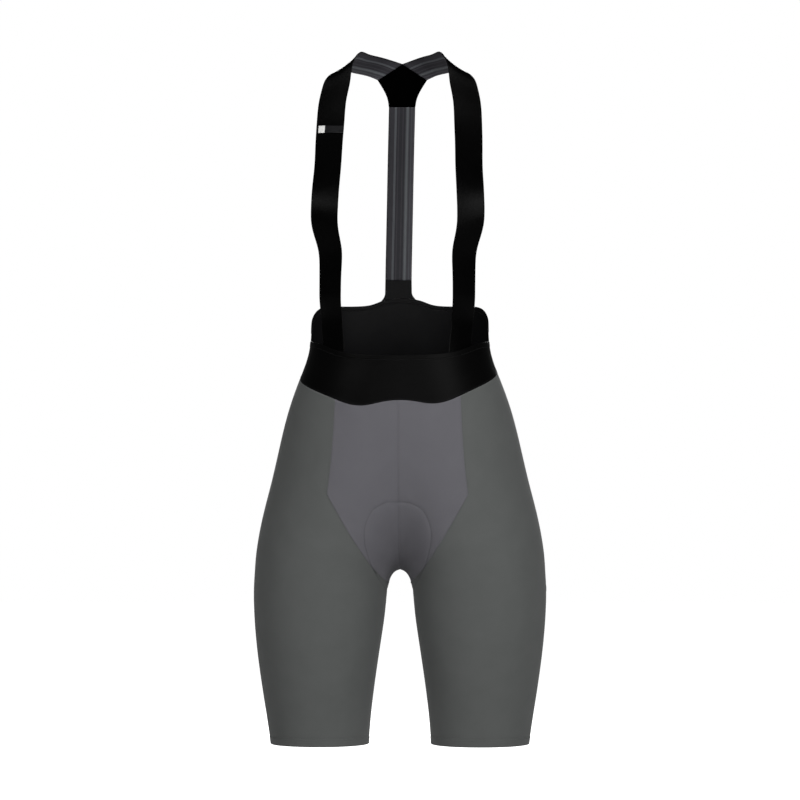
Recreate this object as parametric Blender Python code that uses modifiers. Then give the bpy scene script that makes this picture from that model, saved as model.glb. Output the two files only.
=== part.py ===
"""Cycling bib shorts in the shape they have when worn, with no wearer inside.

Every cloth piece is a thin wall cut from one worn form: two smooth lobes, one for each leg, that run
together above the crotch. Straps are ribbons with a table of sections. +Z is up, the front faces -Y,
the wearer's left is +X, and the origin lies between the shoulders at the height where the straps bear.
"""

from collections import namedtuple

import bmesh
import bpy
import numpy as np

MM = 0.001

# Cloth and seams
CLOTH = 1.2 * MM
WEBBING = 1.3 * MM
SEAM = 0.3 * MM
LABEL = 1.0 * MM
FACET_ROOM = 0.2 * MM  # what the flat facets of a curved wall take up

# The main sizes
HEM_HEIGHT = -884.5 * MM
BACK_STRAP_HALF = 17.1 * MM
TILT = 0.028  # the waist seam lies lower on the wearer's right, by this slope
LINE_TOP = -385.0 * MM  # the line along the middle of the form starts and ends above the waist seam
LINE_PIVOT = -573.5 * MM  # under the crotch that line is found by rays that fan out from here

# The worn form, in horizontal sections. "gap" is where the inner side of a leg lies: past the middle
# (negative) the two legs run together. "square" is the exponent of the rounded outline.
Section = namedtuple("Section", "height width gap front back square blend")
FORM = [
    Section(-895, 163.5, 40.8, -73, 68, 2.10, 0.2),
    Section(-850, 170.0, 37.6, -79, 73, 2.12, 0.4),
    Section(-800, 177.6, 31.6, -87, 79, 2.15, 6.0),
    Section(-750, 183.8, 24.2, -93, 85, 2.17, 16.0),
    Section(-710, 186.6, 18.8, -96, 93, 2.18, 28.0),
    Section(-680, 186.8, 15.7, -98, 101, 2.18, 38.0),
    Section(-665, 186.0, 12.2, -99, 105, 2.18, 42.0),
    Section(-645, 184.7, 3.0, -100, 110, 2.16, 44.0),
    Section(-620, 181.3, -11.0, -101, 115, 2.14, 42.0),
    Section(-590, 175.2, -31.0, -102, 118, 2.12, 36.0),
    Section(-550, 165.0, -58.0, -103, 118, 2.10, 26.0),
    Section(-500, 153.3, -84.0, -103, 111, 2.10, 15.0),
    Section(-460, 143.0, -101.0, -101, 101, 2.12, 8.0),
    Section(-420, 129.0, -109.0, -97, 90, 2.15, 4.0),
    Section(-385, 116.6, -111.6, -92, 81, 2.15, 1.5),
    Section(-350, 113.3, -112.6, -89, 77, 2.15, 0.3),
    Section(-320, 113.4, -113.2, -88, 77, 2.15, 0.1),
    Section(-280, 114.5, -114.4, -90, 80, 2.15, 0.1),
]

# Heights of the waistband's edges, by the angle round the waist from the front middle.
Edge = namedtuple("Edge", "angle height")
BAND_TOP_FRONT = [
    Edge(0, -387.0), Edge(25, -386.2), Edge(36, -385.0), Edge(47, -382.0), Edge(56, -377.5),
    Edge(65, -372.8), Edge(78, -370.0), Edge(95, -369.0),
]
BAND_TOP_BACK = [
    Edge(85, -362.0), Edge(90, -352.0), Edge(93, -344.0), Edge(97, -338.0), Edge(103, -331.5),
    Edge(110, -326.0), Edge(120, -323.5), Edge(146, -322.5), Edge(154, -320.5), Edge(162, -316.0),
    Edge(170, -313.3), Edge(180, -312.0),
]
BAND_SEAM = [
    Edge(0, -443.8), Edge(12, -446.0), Edge(24, -449.6), Edge(33, -447.6), Edge(45, -439.0),
    Edge(60, -428.2), Edge(80, -416.0), Edge(100, -407.0), Edge(130, -400.0), Edge(180, -396.0),
]

# The seam between the pale front panel and the leg: straight to the corner, then in under the crotch
# and up to a point at the back.
Point = namedtuple("Point", "x y z")
PANEL_SIDE = [Point(79.2, -89, -447.0), Point(82.6, -95, -505.0), Point(89.5, -101, -562.5)]
PANEL_UNDER = [
    Point(89.5, -101, -562.5), Point(60.5, -101, -612.8), Point(40.5, -86, -643.5),
    Point(25.0, -58, -665.0), Point(15.5, -24, -675.5), Point(14.0, 3, -677.5),
    Point(15.5, 34, -672.0), Point(18.0, 62, -655.0), Point(14.0, 88, -630.0),
    Point(6.8, 104, -606.0), Point(1.2, 110, -592.0),
]

# A shoulder strap, from inside the waistband to the yoke. "half" is half its width, "roll" turns the
# outer edge down, "wrap" turns it back, and "crown" rounds it across. Where the strap bends over the
# shoulder its middle sinks in.
Strap = namedtuple("Strap", "x y z half roll wrap crown")
STRAP = [
    Strap(81.8, -69.0, -402.0, 17.6, 0, 36, 0.7),
    Strap(84.0, -68.0, -374.0, 17.6, 0, 36, 0.7),
    Strap(86.2, -69.0, -345.0, 17.6, 0, 37, 0.7),
    Strap(86.4, -74.0, -312.0, 17.6, 0, 37, 0.7),
    Strap(85.6, -82.0, -280.0, 17.6, 0, 35, 0.7),
    Strap(86.0, -88.0, -254.0, 17.8, 0, 30, 0.7),
    Strap(89.4, -92.5, -238.0, 17.8, 0, 24, 0.7),
    Strap(92.4, -95.0, -220.0, 17.8, 0, 17, 0.7),
    Strap(92.4, -94.0, -203.0, 17.8, 0, 14, 0.7),
    Strap(91.2, -84.0, -176.0, 17.8, 0, 13, 0.7),
    Strap(89.5, -67.0, -148.0, 17.8, 1, 14, 0.7),
    Strap(88.8, -46.0, -118.0, 17.8, 2, 10, 0.7),
    Strap(87.6, -27.0, -88.0, 17.9, 4, 4, 0.7),
    Strap(85.4, -13.0, -60.0, 18.2, 9, 2, 0.5),
    Strap(81.7, -5.0, -41.0, 19.0, 16, 2, 0.0),
    Strap(77.0, 1.0, -22.0, 18.6, 27, 4, -1.2),
    Strap(66.4, 12.0, -10.3, 18.2, 40, 16, -1.7),
    Strap(51.0, 32.0, -10.9, 17.8, 40, 44, -0.6),
    Strap(33.9, 50.0, -14.0, 17.8, 38, 34, 0.3),
]
CREST = 0.83  # how far along the strap the shoulder is, as a share
CREST_BEFORE, CREST_BEHIND = 26.0 * MM, 22.0 * MM  # the bent stretch over the shoulder
STRAP_TUCKED, STRAP_FREE = -350.0 * MM, -310.0 * MM  # between these the strap leaves the worn form
YOKE_LEAD = 34.0 * MM  # the stretch of a strap that lies flat on the back, next to the yoke
LABEL_TOP, LABEL_FOOT = -91.5 * MM, -103.5 * MM
LABEL_INSET = 0.8 * MM

# The middle of the back: the line that yoke, strap and tab follow, and their outlines.
Back = namedtuple("Back", "height back lean")
BACK_LINE = [
    Back(-330, 77.0, -4.5), Back(-289, 79.2, -4.4), Back(-250, 85.5, -3.9), Back(-200, 93.0, -3.1),
    Back(-150, 95.0, -2.2), Back(-110, 90.5, -1.2), Back(-64, 80.0, 0.2), Back(-30, 67.5, 1.0),
    Back(-11, 58.5, 1.3), Back(10, 47.0, 1.3),
]
BACK_ROUND = 220 * MM  # radius of the back, across
Outline = namedtuple("Outline", "height half")
YOKE_FOOT, YOKE_CORNER, YOKE_PEAK = -63.6 * MM, -30.2 * MM, -11.0 * MM
YOKE_SIDES = [Outline(-63.6, 17.0), Outline(-53.7, 18.8), Outline(-41.6, 23.9), Outline(-30.2, 30.6)]
TAB_TOP = -289.0 * MM
TAB_SIDES = [Outline(-314, 22.6), Outline(-309, 18.6), Outline(-302, 17.3), Outline(-289, 17.1)]

# The pad: half its width by the distance from its front end, along the middle of the crotch.
PAD_FRONT = -571.0 * MM
PAD_THICK = 7.0 * MM
PAD_EDGE = 0.28  # thickness of its edge, as a share
PAD_ROOM = 1.9 * MM  # to the cloth, whose flat facets stand in from the true curve
Width = namedtuple("Width", "distance half")
PAD_WIDTHS = [
    Width(1.5, 12), Width(6, 23), Width(14, 33), Width(30, 40.5), Width(52, 42), Width(100, 36),
    Width(150, 33), Width(200, 42), Width(245, 55), Width(280, 56), Width(300, 46), Width(312, 29),
    Width(317, 15),
]

# Rows and columns
FINE = 200  # points of a line before it is cut into rows
SIDE_ROWS, UNDER_ROWS, REAR_ROWS, LEG_ROWS = 6, 10, 7, 9
PANEL_COLUMNS, LEG_COLUMNS = 6, 34
EDGE_REACH = 0.4  # how far round the leg, as a share, its rows still follow the points of its edges
BAND_ROWS = 5
FRONT_STEPS, CREST_STEPS, REAR_STEPS, STRAP_COLUMNS = 36, 24, 8, 4
BACK_STEPS = 16
YOKE_ROWS, YOKE_COLUMNS = 6, 8
TAB_ROWS = 4
PAD_COLUMNS = 12

COLOURS = {
    "leg_jersey": (0.088, 0.094, 0.091, 0.62),
    "panel_jersey": (0.118, 0.115, 0.128, 0.62),
    "waist_knit": (0.012, 0.012, 0.012, 0.55),
    "strap_elastic": (0.014, 0.014, 0.015, 0.50),
    "pad_foam": (0.055, 0.055, 0.060, 0.85),
    "label_satin": (0.045, 0.045, 0.047, 0.45),
}


# Curves and the worn form


def curve(knots, values):
    """A natural cubic spline through values, which may be numbers or points. Returns a function."""
    knots, values = np.asarray(knots, float), np.asarray(values, float)
    flat = values.reshape(len(knots), -1)
    step = np.diff(knots)
    system, load = np.eye(len(knots)), np.zeros_like(flat)
    for i in range(1, len(knots) - 1):
        system[i, i - 1 : i + 2] = step[i - 1], 2 * (step[i - 1] + step[i]), step[i]
        load[i] = 6 * ((flat[i + 1] - flat[i]) / step[i] - (flat[i] - flat[i - 1]) / step[i - 1])
    bend = np.linalg.solve(system, load)

    def read(at):
        at = np.asarray(at, float)
        where = at.ravel()
        i = np.clip(np.searchsorted(knots, where) - 1, 0, len(knots) - 2)
        before = ((knots[i + 1] - where) / step[i])[:, None]
        after = 1 - before
        line = before * flat[i] + after * flat[i + 1]
        sag = (before**3 - before) * bend[i] + (after**3 - after) * bend[i + 1]
        return (line + sag * step[i][:, None] ** 2 / 6).reshape(at.shape + values.shape[1:])

    return read


def columns_of(table):
    """All columns of a table but the first, in metres, as one curve over the first, in metres too."""
    rows = np.array(table, float)
    return curve(rows[:, 0] * MM, rows[:, 1:] * MM)


def edge_curve(table):
    """A waistband edge: its height in metres by the angle in degrees."""
    rows = np.array(table, float)
    return curve(rows[:, 0], rows[:, 1] * MM)


read_form = columns_of(FORM)
read_back = columns_of(BACK_LINE)
band_seam = edge_curve(BAND_SEAM)
top_front = edge_curve(BAND_TOP_FRONT)
top_back = edge_curve(BAND_TOP_BACK)


def unit(vectors):
    return vectors / np.linalg.norm(vectors, axis=-1, keepdims=True)


def lobes(height):
    """The leg lobes at a height: side, half width, middle, half depth, square and blend."""
    width, gap, front, back, square, blend = np.moveaxis(read_form(height), -1, 0)
    return (width + gap) / 2, (width - gap) / 2, (front + back) / 2, (back - front) / 2, square / MM, blend


def outside(points):
    """How far the points lie outside the worn form, about. Inside it is negative."""
    side, half, middle, depth, square, blend = lobes(points[..., 2])
    away = np.abs(points[..., 1] - middle)

    def lobe(x):
        across = np.abs(x - side)
        size = ((across / half) ** square + (away / depth) ** square) ** (1 / square) + 1e-9
        return np.hypot(across, away) * (1 - 1 / size)

    one, other = lobe(points[..., 0]), lobe(-points[..., 0])
    shared = np.maximum(blend - np.abs(one - other), 0)
    return np.minimum(one, other) - shared**2 / (4 * blend)


def slope(points):
    """The gradient of outside()."""
    step = 0.1 * MM
    return np.stack(
        [(outside(points + step * axis) - outside(points - step * axis)) / (2 * step) for axis in np.eye(3)],
        axis=-1,
    )


def settle(points, deep=0.0):
    """Moves points straight onto the worn form, then in by deep."""
    points = np.array(points, float)
    for _ in range(8):
        way = slope(points)
        points -= (outside(points) / (way**2).sum(-1))[..., None] * way
    return points - deep * unit(slope(points))


def cast(start, way, reach=0.25):
    """Where rays from inside the form leave it. No ray passes the middle, so each stays in its own leg."""
    start, way = np.broadcast_arrays(np.asarray(start, float), np.asarray(way, float))
    inward = start[..., 0] * way[..., 0] < 0
    far = np.where(inward, -start[..., 0] / np.where(inward, way[..., 0], 1), reach)
    near = np.zeros(start.shape[:-1])
    for _ in range(26):
        half = (near + far) / 2
        inside = outside(start + half[..., None] * way) < 0
        near, far = np.where(inside, half, near), np.where(inside, far, half)
    return start + near[..., None] * way


def lengths(line):
    """The length of a line of points up to each of them."""
    return np.concatenate([[0], np.cumsum(np.linalg.norm(np.diff(line, axis=0), axis=1))])


def at_share(line, share):
    """Points of a line at shares of its length."""
    along = lengths(line)
    return np.stack([np.interp(share * along[-1], along, line[:, k]) for k in range(3)], axis=-1)


def resample(line, count, start=0.0, end=1.0):
    """count + 1 points spaced evenly along a line, from one share of it to another."""
    return at_share(line, np.linspace(start, end, count + 1))


def cut_at(line, index, value, last=False):
    """Where a line crosses a coordinate, as a share of its length."""
    hits = np.flatnonzero((line[:-1, index] - value) * (line[1:, index] - value) <= 0)
    i = hits[-1] if last else hits[0]
    part = (value - line[i, index]) / (line[i + 1, index] - line[i, index])
    return np.interp(i + part, np.arange(len(line)), lengths(line)) / lengths(line)[-1]


# Places on the waist


def waist_angle(points):
    """Degrees round the waist from the front middle, the same on both sides."""
    middle = lobes(points[..., 2])[2]
    return np.degrees(np.arctan2(np.abs(points[..., 0]), middle - points[..., 1]))


def edge_height(edge, points):
    """The height of a waistband edge at the angle of these points. The waist seam is tilted."""
    height = edge(waist_angle(points))
    return height + TILT * points[..., 0] if edge is band_seam else height


def on_edge(edge, angle, turn):
    """Points of a waistband edge by their angle from the front middle. turn is 1 or -1, for the side."""
    angle = np.radians(angle)
    height = np.full(np.shape(angle), -400 * MM)
    way = np.stack([turn * np.sin(angle), -np.cos(angle), 0 * angle], axis=-1)
    for _ in range(8):
        start = np.stack([0 * height, lobes(height)[2], height], axis=-1)
        points = cast(start, way)
        height = edge_height(edge, points)
    return points


def front_of_seam(x):
    """The point of the waist seam at a distance to the side, on the front."""
    height = -445 * MM
    for _ in range(8):
        point = cast((x, 0.0, height), (0.0, -1.0, 0.0))
        height = edge_height(band_seam, point)
    return point


def on_back(x, height):
    """Points of the form's back."""
    x, height = np.broadcast_arrays(x, height)
    return cast(np.stack([x, 0 * x, height], axis=-1), np.array([0.0, 1.0, 0.0]))


# Meshes


def material(name):
    found = bpy.data.materials.get(name)
    if found:
        return found
    made = bpy.data.materials.new(name)
    made.use_nodes = True
    red, green, blue, rough = COLOURS[name]
    shader = made.node_tree.nodes["Principled BSDF"]
    shader.inputs["Base Color"].default_value = (red, green, blue, 1)
    shader.inputs["Roughness"].default_value = rough
    made.diffuse_color = (red, green, blue, 1)
    return made


def part_seams(grid):
    """Draws all four edges of a grid in by half a seam, square to the edge."""
    grid = grid.copy()
    for axis in (0, 1):
        for edge, inner in ((0, 1), (-1, -2)):
            rows = grid if axis == 0 else grid.swapaxes(0, 1)
            along = unit(np.gradient(rows[edge], axis=0))
            inward = rows[inner] - rows[edge]
            inward -= (inward * along).sum(-1, keepdims=True) * along
            rows[edge] += unit(inward) * SEAM / 2
    return grid


def wall(name, grid, outward, thickness, finish, thin_edge=None):
    """A cloth wall on the inner side of a grid of points. outward points out at the grid's middle."""
    rows, columns = grid.shape[:2]
    i, j = rows // 2 - 1, columns // 2 - 1
    facing = np.cross(grid[i + 1, j] - grid[i, j], grid[i, j + 1] - grid[i, j])
    if facing @ np.asarray(outward, float) < 0:
        grid = grid[:, ::-1]
    mesh = bmesh.new()
    points = [[mesh.verts.new(point) for point in row] for row in grid]
    for upper, lower in zip(points, points[1:]):
        for k in range(columns - 1):
            mesh.faces.new((upper[k], lower[k], lower[k + 1], upper[k + 1]))
    data = bpy.data.meshes.new(name)
    mesh.to_mesh(data)
    mesh.free()
    data.shade_smooth()
    data.materials.append(material(finish))
    cloth = bpy.data.objects.new(name, data)
    garment.objects.link(cloth)
    solidify = cloth.modifiers.new("cloth", "SOLIDIFY")
    solidify.thickness = thickness
    solidify.offset = -1
    solidify.use_even_offset = True
    if thin_edge is not None:
        inner = cloth.vertex_groups.new(name="inner")
        share = np.ones((rows, columns))
        share[0] = share[-1] = 0
        share[:, 0] = share[:, -1] = 0
        inner.add([int(n) for n in np.flatnonzero(share)], 1.0, "REPLACE")
        solidify.vertex_group = inner.name
        solidify.thickness_vertex_group = thin_edge
    return cloth


# The shorts


def middle_line():
    """The form's middle from the front of the waist, under the crotch, to the back of the waist."""
    down = np.linspace(LINE_TOP, LINE_PIVOT, FINE)
    front = cast(np.stack([0 * down, 0 * down, down], axis=-1), np.array([0.0, -1.0, 0.0]))
    turn = np.radians(np.linspace(0, 180, FINE))[1:-1]
    under = cast((0.0, 0.0, LINE_PIVOT), np.stack([0 * turn, -np.cos(turn), -np.sin(turn)], axis=-1))
    back = cast(np.stack([0 * down, 0 * down, down[::-1]], axis=-1), np.array([0.0, 1.0, 0.0]))
    return np.concatenate([front, under, back])


def panel_edge(turn):
    """The front panel's side seam for one side: down the front, under the crotch and up to its tip."""
    side, under = np.array(PANEL_SIDE) * MM * (turn, 1, 1), np.array(PANEL_UNDER) * MM * (turn, 1, 1)
    side[0] = front_of_seam(side[0, 0])
    upper = settle(curve([0, 0.5, 1], side)(np.linspace(0, 1, FINE)))
    upper[0] = side[0]
    reach = lengths(under)
    lower = settle(curve(reach, under)(np.linspace(0, reach[-1], FINE)))
    low = np.argmin(lower[:, 2])
    return np.concatenate(
        [
            resample(upper, SIDE_ROWS),
            resample(lower[: low + 1], UNDER_ROWS)[1:],
            resample(lower[low:], REAR_ROWS)[1:],
        ]
    )


def front_panel(turn, edge, middle):
    """Half of the pale front panel, which narrows under the crotch to a tip at the back."""
    across = np.linspace(0, 1, PANEL_COLUMNS + 1)[:, None]
    grid = middle[:, None] + (edge - middle)[:, None] * across
    grid[1:, 1:-1] = settle(grid[1:, 1:-1])
    grid[0, 1:-1] = on_edge(band_seam, waist_angle(grid[0, 1:-1]), turn)
    return grid


def leg(turn, edge, rear):
    """One leg: a tube below the crotch, open above it between the front panel and the back seam."""
    rows_above = SIDE_ROWS + UNDER_ROWS
    rows = rows_above + LEG_ROWS
    low_height = edge[rows_above, 2]
    inseam_heights = np.linspace(low_height, HEM_HEIGHT, LEG_ROWS + 1)[1:]
    side, _, centre = lobes(inseam_heights)[:3]
    start = np.stack([turn * side, centre, inseam_heights], axis=-1)
    inseam = cast(start, np.array([-turn, 0.0, 0.0]))
    front = np.concatenate([edge[: rows_above + 1], inseam])
    back = np.concatenate([rear[:-1], edge[rows_above:][::-1], inseam])

    def around(points):
        side, _, centre = lobes(points[:, 2])[:3]
        return np.arctan2(turn * points[:, 0] - side, centre - points[:, 1])

    first, last = around(front), around(back)
    first[rows_above:] = -np.pi / 2
    last = np.where(last < 0, last + 2 * np.pi, last)
    last[rows_above:] = 1.5 * np.pi
    share = np.linspace(0, 1, LEG_COLUMNS + 1)
    angle = first[:, None] + (last - first)[:, None] * share

    seam_height = np.full(LEG_COLUMNS + 1, -430 * MM)
    for _ in range(8):
        side, _, centre = lobes(seam_height)[:3]
        start = np.stack([turn * side, centre, seam_height], axis=-1)
        way = np.stack([turn * np.sin(angle[0]), -np.cos(angle[0]), 0 * share], axis=-1)
        seam = cast(start, way)
        seam_height = edge_height(band_seam, seam)
    down = np.clip(np.arange(rows + 1) / rows_above, 0, 1)[:, None]
    height = seam_height + (low_height - seam_height) * down
    height[rows_above:] = front[rows_above:, 2:]
    near_front = np.clip(1 - share / EDGE_REACH, 0, 1) ** 2
    near_back = np.clip(1 - (1 - share) / EDGE_REACH, 0, 1) ** 2
    height += (front[:, 2:] - height[:, :1]) * near_front + (back[:, 2:] - height[:, -1:]) * near_back
    side, _, centre = lobes(height)[:3]
    start = np.stack([turn * side, centre, height], axis=-1)
    way = np.stack([turn * np.sin(angle), -np.cos(angle), 0 * angle], axis=-1)
    grid = cast(start, way)
    grid[0], grid[:, 0], grid[:, -1] = seam, front, back
    return grid


def waistband(seam, top):
    """A waistband piece from the seam with the legs up to its top edge."""
    upper = np.stack([on_edge(top, angle, np.sign(x) or 1) for angle, x in zip(waist_angle(seam), seam[:, 0])])
    share = np.linspace(0, 1, BAND_ROWS + 1)[:, None, None]
    grid = upper + (seam - upper) * share
    grid[1:-1] = settle(grid[1:-1])
    return grid


def pad(line):
    """The pad: it follows the middle of the crotch and lies just inside the cloth."""
    start = cut_at(line, 2, PAD_FRONT)
    reach = np.array([row.distance for row in PAD_WIDTHS]) * MM
    fine = np.concatenate([reach[:5], np.arange(reach[4], reach[8], 14 * MM)[1:], reach[8:]])
    half = curve(reach, [row.half * MM for row in PAD_WIDTHS])(fine)
    share = start + fine / lengths(line)[-1]
    middle = at_share(line, share)
    tangent = unit(at_share(line, share + 0.002) - at_share(line, share - 0.002))
    columns = [middle]
    steps = PAD_COLUMNS // 2
    for _ in range(steps):
        points = columns[-1]
        for _ in range(3):
            out = unit(np.cross(slope(points), tangent))
            out *= np.sign(out[:, :1] + 1e-9) if len(columns) == 1 else np.sign((out * way).sum(-1))[:, None]
            way = out
            points = settle(points + out * (half / steps / 3)[:, None])
        columns.append(points)
    right = np.stack(columns, axis=1)
    right[:, 0, 0] = 0
    grid = np.concatenate([(right * (-1, 1, 1))[:, :0:-1], right], axis=1)
    return settle(grid, CLOTH + PAD_ROOM)


# Straps, yoke and tab


def back_depth(x, height):
    """How far back the surface over the middle of the back lies. Yoke, back strap and tab follow it."""
    return read_back(height)[..., 0] - x**2 / (2 * BACK_ROUND)


def back_point(x, height):
    """A point of that surface. Its middle line leans a little to one side."""
    x, height = np.broadcast_arrays(np.asarray(x, float), np.asarray(height, float))
    return np.stack([x + read_back(height)[..., 1], back_depth(x, height), height], axis=-1)


def strap(turn):
    """A shoulder strap as a grid, from inside the waistband to its slanting end on the yoke."""
    table = np.array(STRAP)
    centre = table[:, :3] * MM
    half, crown = table[:, 3:4] * MM, np.append(table[:, 6], 0) * MM
    roll, wrap = np.radians(table[:, 4]), np.radians(table[:, 5])
    across = np.stack([np.cos(roll) * np.cos(wrap), np.cos(roll) * np.sin(wrap), -np.sin(roll)], axis=-1)
    inner, outer = centre - half * across, centre + half * across
    corner = YOKE_SIDES[-1].half * MM
    inner = np.concatenate([inner, [(SEAM / 2, back_depth(0.0, YOKE_PEAK), YOKE_PEAK)]])
    outer = np.concatenate([outer, [(corner, back_depth(corner, YOKE_CORNER), YOKE_CORNER)]])
    middle = (inner + outer) / 2
    reach = lengths(middle)
    bend_start, bend_end = CREST * reach[-1] - CREST_BEFORE, CREST * reach[-1] + CREST_BEHIND
    at = np.concatenate(
        [
            np.linspace(0, bend_start, FRONT_STEPS + 1),
            np.linspace(bend_start, bend_end, CREST_STEPS + 1)[1:],
            np.linspace(bend_end, reach[-1], REAR_STEPS + 1)[1:],
        ]
    )
    inner, outer = curve(reach, inner)(at), curve(reach, outer)(at)
    share = np.linspace(0, 1, STRAP_COLUMNS + 1)[:, None]
    grid = inner[:, None] + (outer - inner)[:, None] * share
    along = np.gradient((inner + outer) / 2, axis=0)
    up = unit(np.cross(along, outer - inner))
    grid -= up[:, None] * (1 - (2 * share - 1) ** 2) * curve(reach, crown)(at)[:, None, None]
    tucked = settle(grid[grid[:, 2, 2] < STRAP_FREE], CLOTH + SEAM + FACET_ROOM)
    free = np.clip((tucked[:, :, 2:] - STRAP_TUCKED) / (STRAP_FREE - STRAP_TUCKED), 0, 1)
    free = free**2 * (3 - 2 * free)
    grid[: len(tucked)] = tucked + (grid[: len(tucked)] - tucked) * free
    away = np.clip((at[-1] - at) / YOKE_LEAD, 0, 1)[:, None]
    flat = (1 - away) ** 2 * (1 + 2 * away)
    grid[..., 1] += (back_depth(grid[..., 0], grid[..., 2]) - grid[..., 1]) * flat
    grid[..., 0] = turn * grid[..., 0] + read_back(grid[..., 2])[..., 1] * flat
    return grid


def strap_label(grid):
    """A small label over the outer face of a strap."""
    rows = grid[: FRONT_STEPS + 1]
    heights = rows[:, :, 2].mean(axis=1)
    index = np.interp(np.linspace(LABEL_FOOT, LABEL_TOP, 3), heights, np.arange(len(heights)))
    low = index.astype(int)
    part = (index - low)[:, None, None]
    lifted = rows[low] * (1 - part) + rows[low + 1] * part
    along, across = np.gradient(lifted, axis=0), np.gradient(lifted, axis=1)
    out = unit(np.cross(along, across))
    out *= np.sign(out[1, 2] @ np.array([0.0, -1.0, 0.0]))
    lifted += out * (LABEL + SEAM)
    inset = unit(across[:, [0, -1]]) * LABEL_INSET
    lifted[:, 0] += inset[:, 0]
    lifted[:, -1] -= inset[:, 1]
    return lifted


def yoke():
    """The yoke between the shoulder blades: a straight foot, hollow sides and a peaked top."""
    share = np.linspace(0, 1, YOKE_ROWS + 1)[:, None]
    across = np.linspace(-1, 1, YOKE_COLUMNS + 1)
    level = YOKE_FOOT + (YOKE_CORNER - YOKE_FOOT) * share
    half = columns_of(YOKE_SIDES)(level)[..., 0]
    roof = YOKE_PEAK + (YOKE_CORNER - YOKE_PEAK) * np.abs(across)
    return back_point(half * across, YOKE_FOOT + (roof - YOKE_FOOT) * share)[::-1]


def back_strap():
    """The strap down the middle of the back."""
    height = np.linspace(YOKE_FOOT, TAB_TOP, BACK_STEPS + 1)[:, None]
    return back_point(np.linspace(-1, 1, STRAP_COLUMNS + 1) * BACK_STRAP_HALF, height)


def tab():
    """The tab that joins the back strap to the waistband, flared where it meets the band."""
    across = np.linspace(-1, 1, YOKE_COLUMNS + 1)
    share = np.linspace(0, 1, TAB_ROWS + 1)[:, None] ** 0.7
    lean = BACK_LINE[1].lean * MM
    low = TAB_SIDES[0].height * MM
    foot = on_back(TAB_SIDES[0].half * MM * across + lean, low)
    foot_height = edge_height(top_back, foot)
    level = TAB_TOP + (low - TAB_TOP) * share
    half = columns_of(TAB_SIDES)(level)[..., 0]
    height = TAB_TOP + (foot_height - TAB_TOP) * share
    x = half * across
    on_form = on_back(x + lean, height)
    on_strap = back_point(x, height)
    on_form[:, :, 1] += (on_strap - on_form)[:, :, 1] * (1 - share)
    return on_form


def build():
    line = middle_line()
    rows_above = SIDE_ROWS + UNDER_ROWS
    top_middle = on_edge(band_seam, 0.0, 1)
    corner_share = cut_at(line, 2, PANEL_SIDE[-1].z * MM)
    start_share = cut_at(line, 2, top_middle[2])
    lowest = np.argmin(line[:, 2])
    low_share = cut_at(line, 1, line[lowest, 1])
    tip_share = cut_at(line, 2, PANEL_UNDER[-1].z * MM, last=True)
    middle = np.concatenate(
        [
            resample(line, SIDE_ROWS, start_share, corner_share),
            resample(line, UNDER_ROWS, corner_share, low_share)[1:],
            resample(line, REAR_ROWS, low_share, tip_share)[1:],
        ]
    )
    middle[:, 0] = 0
    middle[0] = top_middle
    seam_back = on_edge(band_seam, 180.0, 1)
    rear_rows = rows_above - REAR_ROWS
    back_share = cut_at(line, 2, seam_back[2], last=True)
    rear = resample(line, rear_rows, back_share, tip_share)
    rear[:, 0] = 0
    rear[0] = seam_back

    seams = {}
    for turn, name in ((1, "left"), (-1, "right")):
        edge = panel_edge(turn)
        half_panel = front_panel(turn, edge, middle)
        half_leg = leg(turn, edge, rear)
        seams[turn] = np.concatenate([half_panel[0], half_leg[0][1:]])
        wall(f"front_panel_{name}", part_seams(half_panel), (0, -1, 0), CLOTH, "panel_jersey")
        wall(f"leg_{name}", part_seams(half_leg), (turn, 0, 0), CLOTH, "leg_jersey")

    ring = np.concatenate([seams[-1][::-1], seams[1][1:]])
    side = len(seams[1]) - 1
    angles = waist_angle(seams[1])
    split = int(np.argmin(np.abs(angles - 90)))
    front_band = waistband(ring[side - split : side + split + 1], top_front)
    back_ring = np.concatenate([seams[1][split:], seams[-1][split:-1][::-1]])
    back_band = waistband(back_ring, top_back)
    wall("waistband_front", part_seams(front_band), (0, -1, 0), CLOTH, "waist_knit")
    wall("waistband_back", part_seams(back_band), (0, 1, 0), CLOTH, "waist_knit")
    wall("chamois_pad", pad(line), (0, 0, -1), PAD_THICK, "pad_foam", thin_edge=PAD_EDGE)

    for turn, name in ((1, "left"), (-1, "right")):
        grid = strap(turn)
        wall(f"strap_{name}", part_seams(grid), (0, -1, 0.2), WEBBING, "strap_elastic")
        if turn == -1:
            wall("strap_label", strap_label(grid), (0, -1, 0), LABEL, "label_satin")
    wall("back_yoke", part_seams(yoke()), (0, 1, 0.4), WEBBING, "waist_knit")
    wall("back_strap", part_seams(back_strap()), (0, 1, 0), WEBBING, "strap_elastic")
    wall("back_tab", part_seams(tab()), (0, 1, 0), CLOTH, "waist_knit")


for old in list(bpy.data.objects):
    bpy.data.objects.remove(old)
garment = bpy.data.collections.new("bib_shorts")
bpy.context.scene.collection.children.link(garment)
build()
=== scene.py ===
# %% [markdown]
# # Cycling bib shorts, seam by seam
#
# Bib shorts are sewn from a few stretch pieces: two legs, a front panel in a warmer grey, a high
# waistband, a moulded seat pad, and elastic straps that meet in a Y at the back. Here they keep the shape
# that a wearer gives them. Every piece of cloth is worked out as a grid of points on one worn form, which
# is how a pattern cutter thinks of them, then gets its own weave, hems and stitches.

# %% Load the fixed frame
from collections import namedtuple

import bmesh
import bpy
import numpy as np
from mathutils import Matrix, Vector
from mathutils.kdtree import KDTree


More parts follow.
